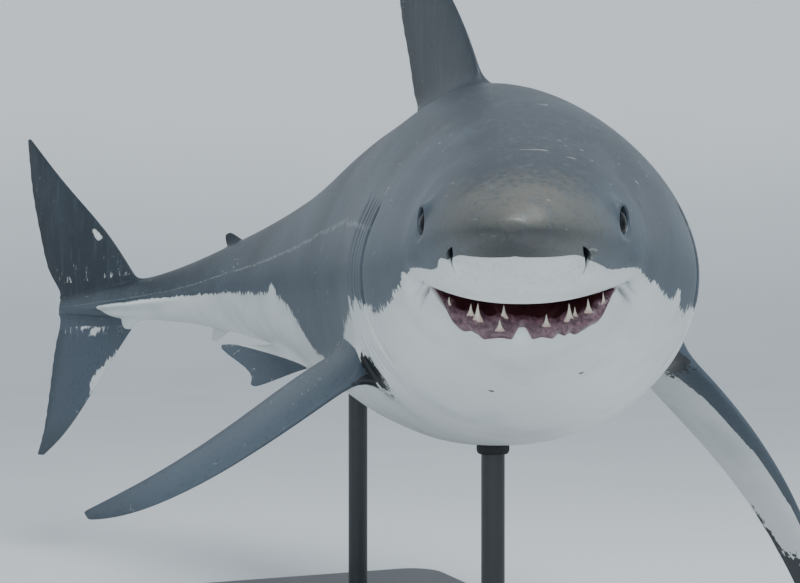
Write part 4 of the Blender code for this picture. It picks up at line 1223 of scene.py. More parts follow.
def fill_fork(points):
    """Fill out the shallow fork between the lobes of the tail."""
    push, reach = FORK_PUSH
    low = surface(FORK_START, 90).z
    near = np.exp(-((points[:, 2] - low) / reach) ** 2)
    start, over = FORK_FILL
    points[:, 1] += push * near * ease((points[:, 1] / TOTAL_LENGTH - start) / over)


def wear_edges(points, marks):
    """Nick the fins' trailing edges."""
    span = marks["span"]
    wave = sum(np.sin(span * pitch + start) for pitch, start in EDGE_WAVES) / len(EDGE_WAVES)
    reach = ease((marks["chord"] - WORN_CHORD[0]) / WORN_CHORD[1])
    reach *= (span > WORN_SPAN[0]) & (span < WORN_SPAN[1])
    large = marks["upright"] + marks["caudal"] + marks["pectoral"]
    points[:, 1] += EDGE_WEAR * wave * reach * np.clip(large, 0, 1)


def bend_body(mesh):
    """Mark the dense skin for its finish and carry it into the turn."""
    points = read_points(mesh)
    marks = read_marks(mesh)
    at = points[:, 1] / TOTAL_LENGTH
    mark_colours(mesh, points, marks)
    carve_head(points, marks)
    fill_fork(points)
    wear_edges(points, marks)
    anchor = np.where(marks["stiff"] > 0, marks["anchor"] / np.maximum(marks["stiff"], 1e-6), 0)
    free = turn_points(points, at)
    stiff = turn_points(points, anchor)
    write_points(mesh, free + (stiff - free) * marks["stiff"][:, None] + np.array(SHIFT))


# The skin's patterns: scale, detail and roughness of each noise.
MOTTLE = (5.0, 5.0, 0.6)
FLECK = (85.0, 3.0, 0.65)
CLOUDS = (3.2, 6.0, 0.65)
# painted light: the streaks of rippling water light on the flanks
CAUSTIC_STREAKS = (70.0, 3.0, 0.5)
SCRATCHES = (120.0, 1.0, 0.3)
RAGGED_BORDER = (95.0, 3.0, 0.6)
WAVY_BORDER = (7.0, 2.0)
RAGGED_BLACK = (75.0, 3.0, 0.6)
RAGGED_PALE = (60.0, 4.0, 0.65)
FINE_GRAIN = (420.0, 2.0)
COARSE_GRAIN = (60.0, 3.0)
PORES = 260.0
# How much each axis counts in a pattern, and so which way it is drawn out.
TALL = (1.0, 1.0, 0.30)
BROAD = (1.0, 0.7, 0.5)
UPRIGHT_CAUSTICS = (1.0, 0.8, 0.10)
ACROSS = (0.05, 0.30, 1.0)
ALONG = (1.0, 0.05, 0.5)
BORDER_RAGGED = 15            # degrees by which the ragged pattern moves the border
BORDER_WAVY = 9
CALM_SNOUT = (0.18, 0.07, 0.13)   # how much of that is left on the snout, and where all of it is
SIDE_LINE = (0.40, 0.002, 0.007)   # turn from the back, half width, and where it has faded out
SIDE_LINE_START = (0.16, 0.24)


def grey_skin(mix, settings, here, share, mottle, fleck, drawn):
    """Return the colours of the back, the flanks and the fins' darker sides, some of it painted
    light and shade.
    """
    about = mix.mark("round")
    cloudy = mix.noise(mix.stretch(here, BROAD), *CLOUDS)
    depth = mix.step(about + (cloudy - 0.5) * 1.1 + (mottle - 0.5) * 0.5, 0.08, 0.66)
    middle, *faded = SIDE_LINE
    off_line = abs(about + (mottle - 0.5) * 0.05 - middle)
    side_line = (1 - mix.step(off_line, *faded)) * mix.step(share, *SIDE_LINE_START)
    muzzle = 1 - mix.step(share, 0.010, 0.095)
    sand = mix.step(mottle * 0.7 + fleck * 0.6 + muzzle * 0.30, 0.72, 1.05)
    # Painted shade: the underside of the snout's tip is darkened towards black.
    painted_snout_shade = (1 - mix.step(share, 0.006, 0.034)) * mix.step(about, 0.40, 0.62)
    # Painted light: thin upright streaks of the paler flank colour stand for light rippling
    # through water.
    streaks = mix.noise(mix.stretch(here, UPRIGHT_CAUSTICS), *CAUSTIC_STREAKS)
    across, along = (mix.noise(mix.stretch(here, way), *SCRATCHES) for way in (ACROSS, ALONG))
    scratch = (mix.step(across, 0.730, 0.765)
               + mix.step(along, 0.730, 0.765) * mix.step(share, 0.09, 0.14))
    patches = mix.mark("pale") + (mix.noise(drawn, *RAGGED_PALE) - 0.5) * 1.1
    return mix.lay(
        mix.blend(depth, settings.back, settings.flank),
        (side_line * mix.step(fleck, 0.40, 0.60) * 0.35, settings.stain),
        (sand * 0.75, settings.cast),
        (painted_snout_shade * 0.55, settings.black),
        (mix.step(fleck, 0.52, 0.74) * 0.40, settings.black),
        (mix.step(streaks, 0.50, 0.74) * 0.35, settings.flank),
        (scratch * mix.step(mottle, 0.50, 0.60) * 0.30, settings.stain),
        (mix.mark("edge") * 0.50, settings.black),
        (mix.step(patches, 0.62, 0.78) * 0.85, settings.belly))


def skin_finish(settings):
    """Return the skin's finish."""
    mix = Mixer("shark_skin")
    here, share = mix.place(), mix.mark("share")
    mottle, fleck = mix.noise(here, *MOTTLE), mix.noise(here, *FLECK)
    drawn = mix.stretch(here, TALL)
    ragged = ((mix.noise(drawn, *RAGGED_BORDER) - 0.5) * BORDER_RAGGED
              + (mix.noise(here, *WAVY_BORDER) - 0.5) * BORDER_WAVY)
    calm, *grown = CALM_SNOUT
    tide = mix.mark("tide") + ragged * (calm + (1 - calm) * mix.step(share, *grown))
    white = mix.step(tide, -0.5, 0.5)
    stained = mix.step(mottle, 0.42, 0.72) * 0.55 + (1 - mix.step(tide, 0.0, 14.0)) * 0.25
    spiky = mix.mark("black") + (mix.noise(drawn, *RAGGED_BLACK) - 0.5) * 1.5
    spots = 1 - mix.step(mix.cells(here, PORES), 0.16, 0.34)
    pores = spots * (1 - mix.step(share, 0.035, 0.075)) * mix.step(fleck, 0.46, 0.58)
    specks = [1 - mix.step(mix.near(here, spot) + (fleck - 0.5) * radius, radius * 0.6, radius)
              for spot, radius in THROAT_SPECKS]
    # Painted shade: the insides of the gill slits and nostrils are painted black.
    slit = mix.mark("gill") + mix.mark("nostril")
    skin = mix.lay(
        grey_skin(mix, settings, here, share, mottle, fleck, drawn),
        (white, mix.blend(stained, settings.belly, settings.stain)),
        (mix.step(spiky, 0.56, 0.68), settings.black),
        (pores * 0.45, settings.black),
        # Painted shade: the creases by the corners of the mouth are darkened towards black.
        (mix.mark("fold") * 0.80, settings.black),
        *((speck * 0.85, settings.black) for speck in specks),
        (mix.step(mix.mark("mouth"), 0.3, 1.0), settings.lining),
        (mix.step(slit, 0.3, 0.9), settings.black))
    grain = mix.noise(here, *FINE_GRAIN) + mix.noise(here, *COARSE_GRAIN) * 0.8 - pores * 1.4
    return mix.finish(base_color=skin, roughness=0.36 + mottle * 0.16 + white * 0.06,
                      normal=mix.bump(grain, settings.relief))


def refine_head(made):
    """Give the head a finer mesh than the rest of the body."""
    bpy.ops.object.mode_set(mode="EDIT")
    bm = bmesh.from_edit_mesh(made.data)
    select_where(bm, "FACE", lambda face: face.calc_center_median().y < HEAD_END * TOTAL_LENGTH)
    bpy.ops.mesh.subdivide(number_cuts=1, smoothness=1)
    select_where(bm, "VERT", lambda vert: vert.co.y < SNOUT_POLE * TOTAL_LENGTH)
    bpy.ops.mesh.vertices_smooth(factor=0.5, repeat=SNOUT_SMOOTHING)
    bpy.ops.object.mode_set(mode="OBJECT")


def corner_crease(side):
    """Return the line of the crease below one corner of the mouth."""
    return [Vector(spot) * Vector((side, 1, 1)) * TOTAL_LENGTH for spot in CORNER_CREASE]


def line_distance(points, line):
    """Return each point's distance from a line, seen mostly from ahead, and its place on it."""
    points = points * CREASE_VIEW
    best = np.full(len(points), np.inf)
    along = np.zeros(len(points))
    for number, (start, end) in enumerate(zip(line, line[1:])):
        run = (np.array(end) - np.array(start)) * CREASE_VIEW
        start = np.array(start) * CREASE_VIEW
        t = np.clip((points - start) @ run / (run @ run), 0, 1)
        away = np.linalg.norm(points - start - t[:, None] * run, axis=1)
        nearer = away < best
        best[nearer] = away[nearer]
        along[nearer] = ((number + t) / (len(line) - 1))[nearer]
    return best, along


def carve_nose(points):
    """Press a shallow rim round the knob of the nose."""
    reach = np.hypot(points[:, 0], points[:, 2])
    upper = ease((points[:, 2] - NOSE_TOP[0]) / NOSE_TOP[1])
    upper *= points[:, 1] < NOSE_END * TOTAL_LENGTH
    radius, width, depth = NOSE_RIM
    points[:, 1] += depth * upper * (np.exp(-((reach - radius) / width) ** 2)
                                     - 0.7 * np.exp(-(reach / (0.7 * radius)) ** 2))


def raise_chin(points, marks):
    """Raise the small peak in the middle of the lower lip."""
    chin = lip(0, False)
    spread, height, depth = CHIN_PEAK
    near = np.exp(-np.abs(points[:, 0] / spread) ** 1.6 - ((points[:, 2] - chin.z) / depth) ** 2)
    near *= np.exp(-((points[:, 1] - chin.y) / CHIN_DEPTH) ** 2)
    near *= np.clip(2.4 - marks["mouth"], 0, 1)
    points[:, 2] += near * height
    points[:, 1] += near * height * CHIN_LEAN


def carve_head(points, marks):
    """Raise and press the fine forms of the nose, chin, cheeks and the corners of the mouth."""
    outside = (marks["mouth"] < 0.5) & (points[:, 1] < HEAD_REACH * TOTAL_LENGTH)
    carve_nose(points)
    raise_chin(points, marks)
    for side in (-1, 1):
        for turn, offset, radii, push in CHEEKS:
            centre = lip(side * turn, False) + Vector((side, 1, 1)) * Vector(offset)
            force = np.array(push) * (side, 1, 1)
            near = np.exp(-(((points - np.array(centre)) / radii) ** 2).sum(axis=1)) * outside
            points += near[:, None] * force
        away, along = line_distance(points, corner_crease(side))
        fade = np.clip(4 * (1 - along), 0, 1) * np.clip(4 * along + 0.4, 0, 1) * outside
        inward = -points * (1, 0, 1)
        inward /= np.maximum(np.linalg.norm(inward, axis=1), 1e-6)[:, None]
        away /= CREASE_WIDTH
        groove = np.exp(-away ** 2) - 0.45 * np.exp(-((away - 2) / 0.9) ** 2)
        points += inward * (groove * fade * CREASE_DEPTH)[:, None]


class SHARK_OT_skin(bpy.types.Operator):
    """Draw the body out of a ring, part its mouth, eyes and gills, and grow its fins"""
    bl_idname = "shark.skin"
    bl_label = "Skin"

    def execute(self, context):
        leave_all()
        body = Body(all_rings())
        shape_lips(body)
        for column in (EYE_AT[1], RING_POINTS - EYE_AT[1]):
            draw_lids(body, column)
        for left in (True, False):
            draw_nostril(body, left)
        open_mouth(body)
        press_gills(body)
        for fin in FINS:
            grow_fin(body, fin)
        smooth_fork(body)
        turn_out()
        subdivide(2)
        refine_head(body.made)
        bend_body(body.made.data)
        bpy.ops.object.shade_smooth()
        flesh = [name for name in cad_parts
                 if not name.startswith(("stand_", "eye_", "lower_gum"))]
        finish_piece(body.made, "skin", "skin", skin_finish(context.scene.shark_skin), *flesh)
        return {"FINISHED"}


# ------------------------------------------------------------------ eyes

CORNEA_RISE = 0.0012          # how far the clear front of an eye stands out
CORNEA_REACH = 0.50           # of the eyeball's radius
EYE_SHINE = 0.08
PUPIL = (0.34, 0.40)          # share of the radius from which the pupil turns into the iris
IRIS = (0.62, 0.72)           # and the iris into the outer eye
PUPIL_BLACK = (0.002, 0.002, 0.003)


def eye_axis(side):
    """Return which way an eye looks, in the part."""
    row, column = EYE_AT
    middle = all_rings()[row][column]
    middle.x *= side
    return (pose(middle + eye_outlook(side) * EYE_SPREAD) - pose(middle)).normalized()


def eye_finish(settings):
    """Return the eye's finish: a black pupil in a very dark iris under a clear wet front."""
    mix = Mixer("shark_eye")
    here = mix.place()
    away = mix.mark("away")
    threads = mix.noise(here, 240.0, 4.0, 0.7)
    iris = mix.blend(threads, settings.iris, settings.iris_light)
    eye = mix.lay(PUPIL_BLACK, (mix.step(away + (threads - 0.5) * 0.06, *PUPIL), iris),
                  (mix.step(away, *IRIS), settings.white))
    mix.shader.inputs["Specular IOR Level"].default_value = EYE_SHINE
    return mix.finish(base_color=eye, roughness=0.10 + threads * 0.08)


class SHARK_OT_eyes(bpy.types.Operator):
    """Make the two dark, glossy, flattened eyeballs"""
    bl_idname = "shark.eyes"
    bl_label = "Eyes"

    def execute(self, context):
        settings = context.scene.shark_eyes
        finish = eye_finish(settings)
        for name, side in (("eye_left", 1), ("eye_right", -1)):
            leave_all()
            low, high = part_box(name)
            axis = eye_axis(side)
            turn = axis.to_track_quat("Z", "Y").to_euler()
            middle = (low + high) / 2
            flat = settings.thickness / settings.radius
            bpy.ops.mesh.primitive_uv_sphere_add(segments=64, ring_count=40,
                                                 radius=settings.radius, location=middle,
                                                 rotation=turn, scale=(1, 1, flat))
            ball = bpy.context.object
            bpy.ops.object.transform_apply()
            self.bulge(ball, middle, axis, settings)
            bpy.ops.object.shade_smooth()
            finish_piece(ball, name.replace("eye", "eyeball"), "eye", finish, name)
        return {"FINISHED"}

    @staticmethod
    def bulge(ball, middle, axis, settings):
        """Raise the clear front of an eye and mark how far each point lies from its middle."""
        spots = read_points(ball.data) - np.array(middle)
        rise = spots @ np.array(axis)
        across = np.linalg.norm(spots - rise[:, None] * np.array(axis), axis=1)
        away = np.where(rise > 0, across / settings.radius, 2)
        bulge = CORNEA_RISE * np.exp(-(away / CORNEA_REACH) ** 2)
        spots += bulge[:, None] * np.array(axis) + np.array(middle)
        write_points(ball.data, spots)
        write_mark(ball.data, "away", away)


# ------------------------------------------------------------------ gum and teeth

# The gum's scalloped lower edge and its crest: turn round the jaw, height in shares.
GUM_EDGE = (
    (-0.60, -0.0188), (-0.573, -0.0196), (-0.509, -0.0260), (-0.447, -0.0313), (-0.383, -0.0333),
    (-0.340, -0.0330), (-0.283, -0.0344), (-0.232, -0.0363), (-0.180, -0.0360), (-0.125, -0.0357),
    (-0.057, -0.0363), (-0.030, -0.0335), (-0.012, -0.0316), (0.012, -0.0316), (0.036, -0.0338),
    (0.059, -0.0362), (0.120, -0.0354), (0.185, -0.0359), (0.230, -0.0340), (0.267, -0.0348),
    (0.310, -0.0337), (0.341, -0.0343), (0.412, -0.0327), (0.460, -0.0312), (0.517, -0.0300),
    (0.582, -0.0248), (0.640, -0.0198), (0.66, -0.0186),
)
GUM_CREST = (
    (-0.60, -0.0184), (-0.52, -0.0224), (-0.494, -0.0222), (-0.45, -0.0262), (-0.38, -0.0270),
    (-0.319, -0.0265), (-0.295, -0.0280), (-0.270, -0.0268), (-0.20, -0.0293), (-0.112, -0.0277),
    (-0.03, -0.0290), (0.04, -0.0291), (0.10, -0.0300), (0.136, -0.0293), (0.20, -0.0300),
    (0.293, -0.0270), (0.35, -0.0283), (0.420, -0.0256), (0.47, -0.0257), (0.517, -0.0228),
    (0.58, -0.0214), (0.66, -0.0183),
)
GUM_SECTIONS = 150
# Round the gum's section from its lower edge up the front, over the crest and down behind:
# how far outside the lip, and how high from edge (0) to crest (1), then metres above that.
GUM_SECTION = (
    (0.0020, 0.00, 0.0), (0.0026, 0.14, 0.0), (0.0010, 0.36, 0.0), (-0.0020, 0.58, 0.0),
    (-0.0060, 0.80, 0.0), (-0.0105, 1.00, 0.0), (-0.0160, 1.02, -0.001), (-0.0230, 0.80, -0.002),
    (-0.0270, 0.40, -0.004), (-0.0260, 0.00, -0.008), (-0.0150, 0.00, -0.011),
    (-0.0040, 0.00, -0.006),
)
GUM_FRONT = 5                 # the section's last point on the front, on the crest
GUM_END = (0.12, 0.45)        # over how much of the turn the gum's ends thin out, and to what
GUM_FOLDS = ((0.0007, 150, 0), (0.0005, 277, 1))   # height, pitch and start of the front's folds
GUM_HUMP = (0.0028, 0.028)    # height and width, as a turn, of the swelling round a tooth's foot
GUM_RELIEF = 0.0012
PEAK_SETBACK = 0.0090         # how far the gum stands back behind the chin's peak
PEAK_SPREAD = 0.050
# Each lower tooth: turn round the jaw, its tip's and foot's heights in shares, its size of base
# and how far its foot stands out.
TEETH = (
    (-0.494, -0.02190, -0.0246, 0.60, 0.000), (-0.319, -0.02460, -0.0288, 0.72, 0.000),
    (-0.270, -0.02440, -0.0312, 1.00, 0.001), (-0.105, -0.02500, -0.0300, 0.80, -0.003),
    (-0.128, -0.03080, -0.0345, 0.80, 0.0105), (0.148, -0.02860, -0.0328, 0.75, 0.003),
    (0.293, -0.02440, -0.0312, 1.00, 0.001), (0.335, -0.02570, -0.0290, 0.55, -0.003),
    (0.430, -0.02260, -0.0276, 0.80, 0.000), (0.560, -0.01990, -0.0246, 0.60, 0.000),
)
TOOTH_BASE = 0.0085           # half the widest base
TOOTH_FOOT_SET = -0.0030      # how far a tooth's foot stands outside the lip
TOOTH_SINK = 0.0009           # share by which a tooth's foot reaches down into the gum
TOOTH_LEAN = -0.0030
# A tooth's rings from its foot to its tip: height, half width and half thickness, as shares.
TOOTH_RINGS = ((0.00, 1.45, 0.60), (0.12, 1.34, 0.56), (0.24, 1.02, 0.48), (0.36, 0.68, 0.39),
               (0.50, 0.45, 0.31), (0.66, 0.32, 0.24), (0.82, 0.19, 0.16), (0.94, 0.08, 0.07),
               (1.00, 0.02, 0.02))
TOOTH_SIDES = 12


def jaw_outline(turn, step=0.01):
    """Return the lower lip's point and its outward direction at a turn round the jaw."""
    run = lip(turn + step, False) - lip(turn - step, False)
    run.z = 0
    return lip(turn, False), run.normalized().cross(UP)


def gum_section(turn):
    """Return the points round the gum's section at a turn round the jaw."""
    here, out = jaw_outline(turn)
    edge, crest = (float(smooth_curve(line)(turn)) * TOTAL_LENGTH
                   for line in (GUM_EDGE, GUM_CREST))
    run, thin = GUM_END
    ends = min(1, (turn - GUM_EDGE[0][0]) / run, (GUM_EDGE[-1][0] - turn) / run)
    fullness = thin + (1 - thin) * ease(ends)
    height, width = GUM_HUMP
    hump = sum(size * math.exp(-((turn - place) / width) ** 2) for place, _, _, size, _ in TEETH)
    folds = sum(rise * math.sin(turn * pitch + start) for rise, pitch, start in GUM_FOLDS)
    back = PEAK_SETBACK * math.exp(-(turn / PEAK_SPREAD) ** 2)
    points = []
    for number, (offset, share, rise) in enumerate(GUM_SECTION):
        if number <= GUM_FRONT:
            front = math.sin(math.pi * (number / GUM_FRONT))
            offset += front * (height * hump + folds) - back
        else:
            offset *= fullness
        spot = here + out * offset
        spot.z = edge + (crest - edge) * share + rise * fullness
        points.append(spot)
    return points


def gum_finish(settings):
    """Return the gum's wet, folded finish."""
    mix = Mixer("gum")
    here = mix.place()
    veins = mix.noise(here, 95.0, 4.0, 0.6)
    folds = mix.noise(mix.stretch(here, (1.0, 1.0, 0.3)), 150.0, 4.0, 0.6)
    flesh = mix.lay(settings.gum, (mix.step(veins, 0.35, 0.68), settings.gum_pale),
                    (mix.step(folds, 0.50, 0.72) * 0.5, settings.gum_deep))
    return mix.finish(base_color=flesh, roughness=0.28 + veins * 0.2, coat_weight=0.25,
                      normal=mix.bump(folds + veins * 0.4, GUM_RELIEF))


def tooth_finish(settings):
    """Return the teeth's finish: clear at the tip, duller towards the root."""
    mix = Mixer("tooth")
    streaks = mix.noise(mix.place(), 300.0, 2.0)
    clear = mix.step(mix.mark("height") + streaks * 0.2, 0.05, 0.55)
    enamel = mix.blend(clear, settings.root, settings.tooth)
    return mix.finish(base_color=enamel, roughness=0.22, coat_weight=0.3)


class SHARK_OT_gum(bpy.types.Operator):
    """Draw the lower gum along the jaw, section after section"""
    bl_idname = "shark.gum"
    bl_label = "Gum"

    def execute(self, context):
        leave_all()
        bpy.ops.mesh.primitive_circle_add(vertices=len(GUM_SECTION), radius=0.01,
                                          fill_type="NGON", enter_editmode=True)
        gum = bpy.context.edit_object
        bm = bmesh.from_edit_mesh(gum.data)
        number = bm.verts.layers.int.new("number")
        for vert in bm.verts:
            turn = math.atan2(vert.co.x, vert.co.y) / math.tau * len(GUM_SECTION)
            vert[number] = round(turn) % len(GUM_SECTION)
        first, last = GUM_EDGE[0][0], GUM_EDGE[-1][0]
        for section in range(GUM_SECTIONS + 1):
            if section:
                bpy.ops.mesh.extrude_region_move()
            number = bm.verts.layers.int["number"]
            places = gum_section(first + (last - first) * section / GUM_SECTIONS)
            for vert in bm.verts:
                if vert.select:
                    vert.co = pose(places[vert[number]])
        turn_out()
        subdivide(1)
        bpy.ops.object.shade_smooth()
        finish = gum_finish(context.scene.shark_mouth)
        finish_piece(gum, "gum", "gum_and_teeth", finish, "lower_gum_teeth")
        return {"FINISHED"}


class SHARK_OT_teeth(bpy.types.Operator):
    """Model one tooth and set its copies along the gum"""
    bl_idname = "shark.teeth"
    bl_label = "Teeth"

    def execute(self, context):
        leave_all()
        pattern = self.make_pattern()
        copies = []
        for turn, tip, foot, size, proud in TEETH:
            copy = copy_piece(pattern)
            here, out = jaw_outline(turn)
            root = here + out * (TOOTH_FOOT_SET + proud)
            root.z = (foot - TOOTH_SINK) * TOTAL_LENGTH
            tall = (tip - foot + TOOTH_SINK) * TOTAL_LENGTH
            base = TOOTH_BASE * size
            way = (pose(root + out * 0.01) - pose(root)).normalized()
            side = UP.cross(way)
            turned = Matrix((side, way, UP)).transposed().to_4x4()
            copy.matrix_world = (Matrix.Translation(pose(root)) @ turned
                                 @ Matrix.Diagonal((base, base, tall, 1)))
            copies.append(copy)
        bpy.data.objects.remove(pattern)
        teeth = join_pieces(copies)
        bpy.ops.object.shade_smooth()
        finish = tooth_finish(context.scene.shark_mouth)
        finish_piece(teeth, "teeth", "gum_and_teeth", finish, "lower_gum_teeth")
        return {"FINISHED"}

    @staticmethod
    def make_pattern():
        """Draw one tooth, one unit tall, out of its oval foot."""
        bpy.ops.mesh.primitive_circle_add(vertices=TOOTH_SIDES, radius=1, fill_type="NGON",
                                          enter_editmode=True)
        tooth = bpy.context.edit_object
        bm = bmesh.from_edit_mesh(tooth.data)
        bm.verts.layers.float.new("height")
        number = bm.verts.layers.int.new("number")
        for vert in bm.verts:
            vert[number] = round(math.atan2(vert.co.y, vert.co.x) / math.tau * TOOTH_SIDES)
        for ring, (height, width, thickness) in enumerate(TOOTH_RINGS):
            if ring:
                bpy.ops.mesh.extrude_region_move()
            rise = bm.verts.layers.float["height"]
            number = bm.verts.layers.int["number"]
            for vert in bm.verts:
                if vert.select:
                    turn = vert[number] / TOOTH_SIDES * math.tau
                    lean = TOOTH_LEAN / TOOTH_BASE * height ** 2
                    vert.co = (math.cos(turn) * width, math.sin(turn) * thickness + lean, height)
                    vert[rise] = height
        turn_out()
        subdivide(1)
        return tooth


# ------------------------------------------------------------------ the stand

BASE_SIZE = (0.95, 2.1, 0.04)
BASE_CORNER = (0.12, 14)      # radius of the plate's round corners, and their facets
BASE_EDGE = (0.006, 4)        # and those of its eased rim
BASE_GAP = (0.012, 0.004)     # how far the shadow gap under the base reaches in and up
# A collar and the foot of its rod, up the outside: radius and height above the collar's foot.
COLLAR_PROFILE = ((0.0720, 0.0000), (0.0750, 0.0030), (0.0750, 0.0170), (0.0740, 0.0200),
                  (0.0715, 0.0220), (0.0400, 0.0220), (0.0375, 0.0232), (0.0345, 0.0262),
                  (0.0320, 0.0310), (0.0305, 0.0370), (0.0300, 0.0450))
COLLAR_TOP = 0.0219
SCREWS = 6
SCREW_SIDES = 24
SCREW_RING = 0.056
SCREW_PROFILE = ((0.0064, 0.0), (0.0064, 0.0040), (0.0058, 0.0052), (0.0036, 0.0052),
                 (0.0034, 0.0024), (0.0012, 0.0020))
HARD_EDGE = math.radians(35)   # from this angle on, the stand's edges stay sharp
PAD_DROP = 0.004              # how far a pad's middle lies below the belly
PAD_RING = 0.0355
PAD_ROUND = 0.0065
PAD_STRETCH = 2.2


def stand_finish(settings):
    """Return the finish of satin paint baked on steel."""
    mix = Mixer("stand_paint")
    here = mix.place()
    cloud = mix.noise(here, 3.0, 3.0)
    peel = mix.noise(here, 700.0, 2.0)
    dust = mix.step(mix.noise(here, 38.0, 5.0, 0.7), 0.60, 0.78)
    paint = mix.lay(settings.paint, (cloud, settings.paint_light), (dust * 0.18, settings.dust))
    return mix.finish(base_color=paint, roughness=0.38 + cloud * 0.1 + dust * 0.14,
                      normal=mix.bump(peel, 0.00025))


def rubber_finish(settings):
    """Return the finish of the dark pads between the rods and the belly."""
    mix = Mixer("stand_rubber")
    here = mix.place()
    wear = mix.noise(here, 55.0, 4.0, 0.6)
    rubber = mix.blend(wear, settings.rubber, settings.paint)
    return mix.finish(base_color=rubber, roughness=0.68 + wear * 0.14,
                      normal=mix.bump(mix.noise(here, 500.0, 3.0), 0.0003))


def bevel_edges(bm, wanted, size):
    """Round off the wanted edges of the mesh in edit mode, by a size of radius and facets."""
    select_where(bm, "EDGE", wanted)
    bpy.ops.mesh.bevel(offset=size[0], segments=size[1], profile=0.5, affect="EDGES")


def turned_piece(profile, place, sides=64):
    """Turn a piece round an upright axis, up the outside of its profile of radii and heights."""
    leave_all()
    radius, height = profile[0]
    bpy.ops.mesh.primitive_circle_add(vertices=sides, radius=radius, fill_type="NGON",
                                      location=(place.x, place.y, height), enter_editmode=True)
    draw_profile(profile, place.x, place.y)
    turn_out()
    bpy.ops.object.transform_apply()
    bpy.ops.object.shade_smooth_by_angle(angle=HARD_EDGE)
    return bpy.context.object


def box_middle(name):
    """Return the middle of a node's box, with its lowest and highest heights."""
    low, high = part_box(name)
    return (low + high) / 2, low.z, high.z


class SHARK_OT_base(bpy.types.Operator):
    """Make the stand's base plate with its round corners, eased rim and shadow gap"""
    bl_idname = "shark.base"
    bl_label = "Base plate"

    def execute(self, context):
        leave_all()
        middle, foot, _ = box_middle("stand_base")
        front, rear = (box_middle(name)[0] for name in ("stand_rod_front", "stand_rod_rear"))
        top = BASE_SIZE[2] / 2
        bpy.ops.mesh.primitive_cube_add(size=1, location=(0, 0, 0), enter_editmode=True)
        base = bpy.context.edit_object
        bpy.ops.transform.resize(value=BASE_SIZE, center_override=(0, 0, 0))
        bm = bmesh.from_edit_mesh(base.data)
        bevel_edges(bm, lambda edge: abs(edge.verts[0].co.z - edge.verts[1].co.z) > top,
                    BASE_CORNER)
        bevel_edges(bm, lambda edge: all(abs(vert.co.z - top) < 1e-4 for vert in edge.verts),
                    BASE_EDGE)
        select_where(bm, "FACE", lambda face: face.normal.z < -0.9)
        bpy.ops.mesh.inset(thickness=BASE_GAP[0], depth=0)
        bpy.ops.mesh.extrude_region_move(TRANSFORM_OT_translate={"value": (0, 0, BASE_GAP[1])})
        bpy.ops.object.mode_set(mode="OBJECT")
        base.rotation_euler.z = math.atan2(front.x - rear.x, rear.y - front.y)
        base.location = (middle.x, middle.y, foot + top)
        bpy.ops.object.transform_apply()
        bpy.ops.object.shade_smooth_by_angle(angle=HARD_EDGE)
        finish = stand_finish(context.scene.shark_stand)
        finish_piece(base, "base_plate", "stand", finish, "stand_base")
        return {"FINISHED"}


class SHARK_OT_rods(bpy.types.Operator):
    """Turn the two rods with their bolted collars"""
    bl_idname = "shark.rods"
    bl_label = "Rods"

    def execute(self, context):
        settings = context.scene.shark_stand
        finish, rubber = stand_finish(settings), rubber_finish(settings)
        for name, at in zip(("stand_rod_front", "stand_rod_rear"), ROD_AT):
            middle, foot, top = box_middle(name)
            profile = [(radius, foot + height) for radius, height in COLLAR_PROFILE]
            rod = turned_piece(profile + [(settings.rod_radius, top)], middle)
            short = name.replace("stand_", "")
            finish_piece(rod, short, "stand", finish, name)
            self.make_bolts(short + "_bolts", middle, foot + COLLAR_TOP, finish)
            self.make_pad(short + "_pad", middle, at, rubber)
        return {"FINISHED"}

    @staticmethod
    def make_bolts(name, middle, height, finish):
        """Set six socket screws round a collar, each a copy with its own mesh."""
        turns = [math.tau * (number + 0.5) / SCREWS for number in range(SCREWS)]
        spots = [middle + Vector((math.cos(turn), math.sin(turn), 0)) * SCREW_RING
                 for turn in turns]
        profile = [(radius, height + rise) for radius, rise in SCREW_PROFILE]
        screws = [turned_piece(profile, spots[0], SCREW_SIDES)]
        for spot in spots[1:]:
            screw = copy_piece(screws[0])
            screw.location = spot - spots[0]
            screws.append(screw)
        finish_piece(join_pieces(screws), name, "stand", finish)

    @staticmethod
    def make_pad(name, middle, at, finish):
        """Fit a soft ring round a rod where it meets the belly."""
        leave_all()
        spot = pose(Vector((0, at, belly_height(at))) * TOTAL_LENGTH)
        spot.z -= PAD_DROP
        bpy.ops.mesh.primitive_torus_add(location=(middle.x, middle.y, spot.z),
                                         major_radius=PAD_RING, minor_radius=PAD_ROUND,
                                         major_segments=64, minor_segments=20)
        pad = bpy.context.object
        bpy.ops.object.mode_set(mode="EDIT")
        bpy.ops.transform.resize(value=(1, 1, PAD_STRETCH),
                                 center_override=(middle.x, middle.y, spot.z))
        bpy.ops.object.mode_set(mode="OBJECT")
        bpy.ops.object.transform_apply()
        bpy.ops.object.shade_smooth()
        finish_piece(pad, name, "stand", finish)


# ------------------------------------------------------------------ the studio

CAMERA_PLACE = (-0.1706, -2.2421, -0.0965)
SENSOR_WIDTH = 36
# The studio's floor and the wall that it curves up into: radius and height.
STUDIO = ((11.0, -0.001), (12.0, 0.03), (13.0, 0.16), (14.0, 0.45), (14.9, 1.0), (15.5, 1.8),
          (15.9, 2.9), (16.0, 4.2), (16.0, 8.0))
WALL_GLOW = (0.0, 4.0)        # the heights between which the wall starts to glow
SKY = (0.80, 0.88, 0.95, 1)
# Each lamp: its name, place, what it points at, its size and its power.
LAMPS = (
    ("key_lamp", (1.2, -2.6, 5.4), (0.2, -0.6, 1.2), 3.2, 340),
    ("front_lamp", (-1.5, -7.0, 2.6), (0, -1, 1), 3.0, 60),
)


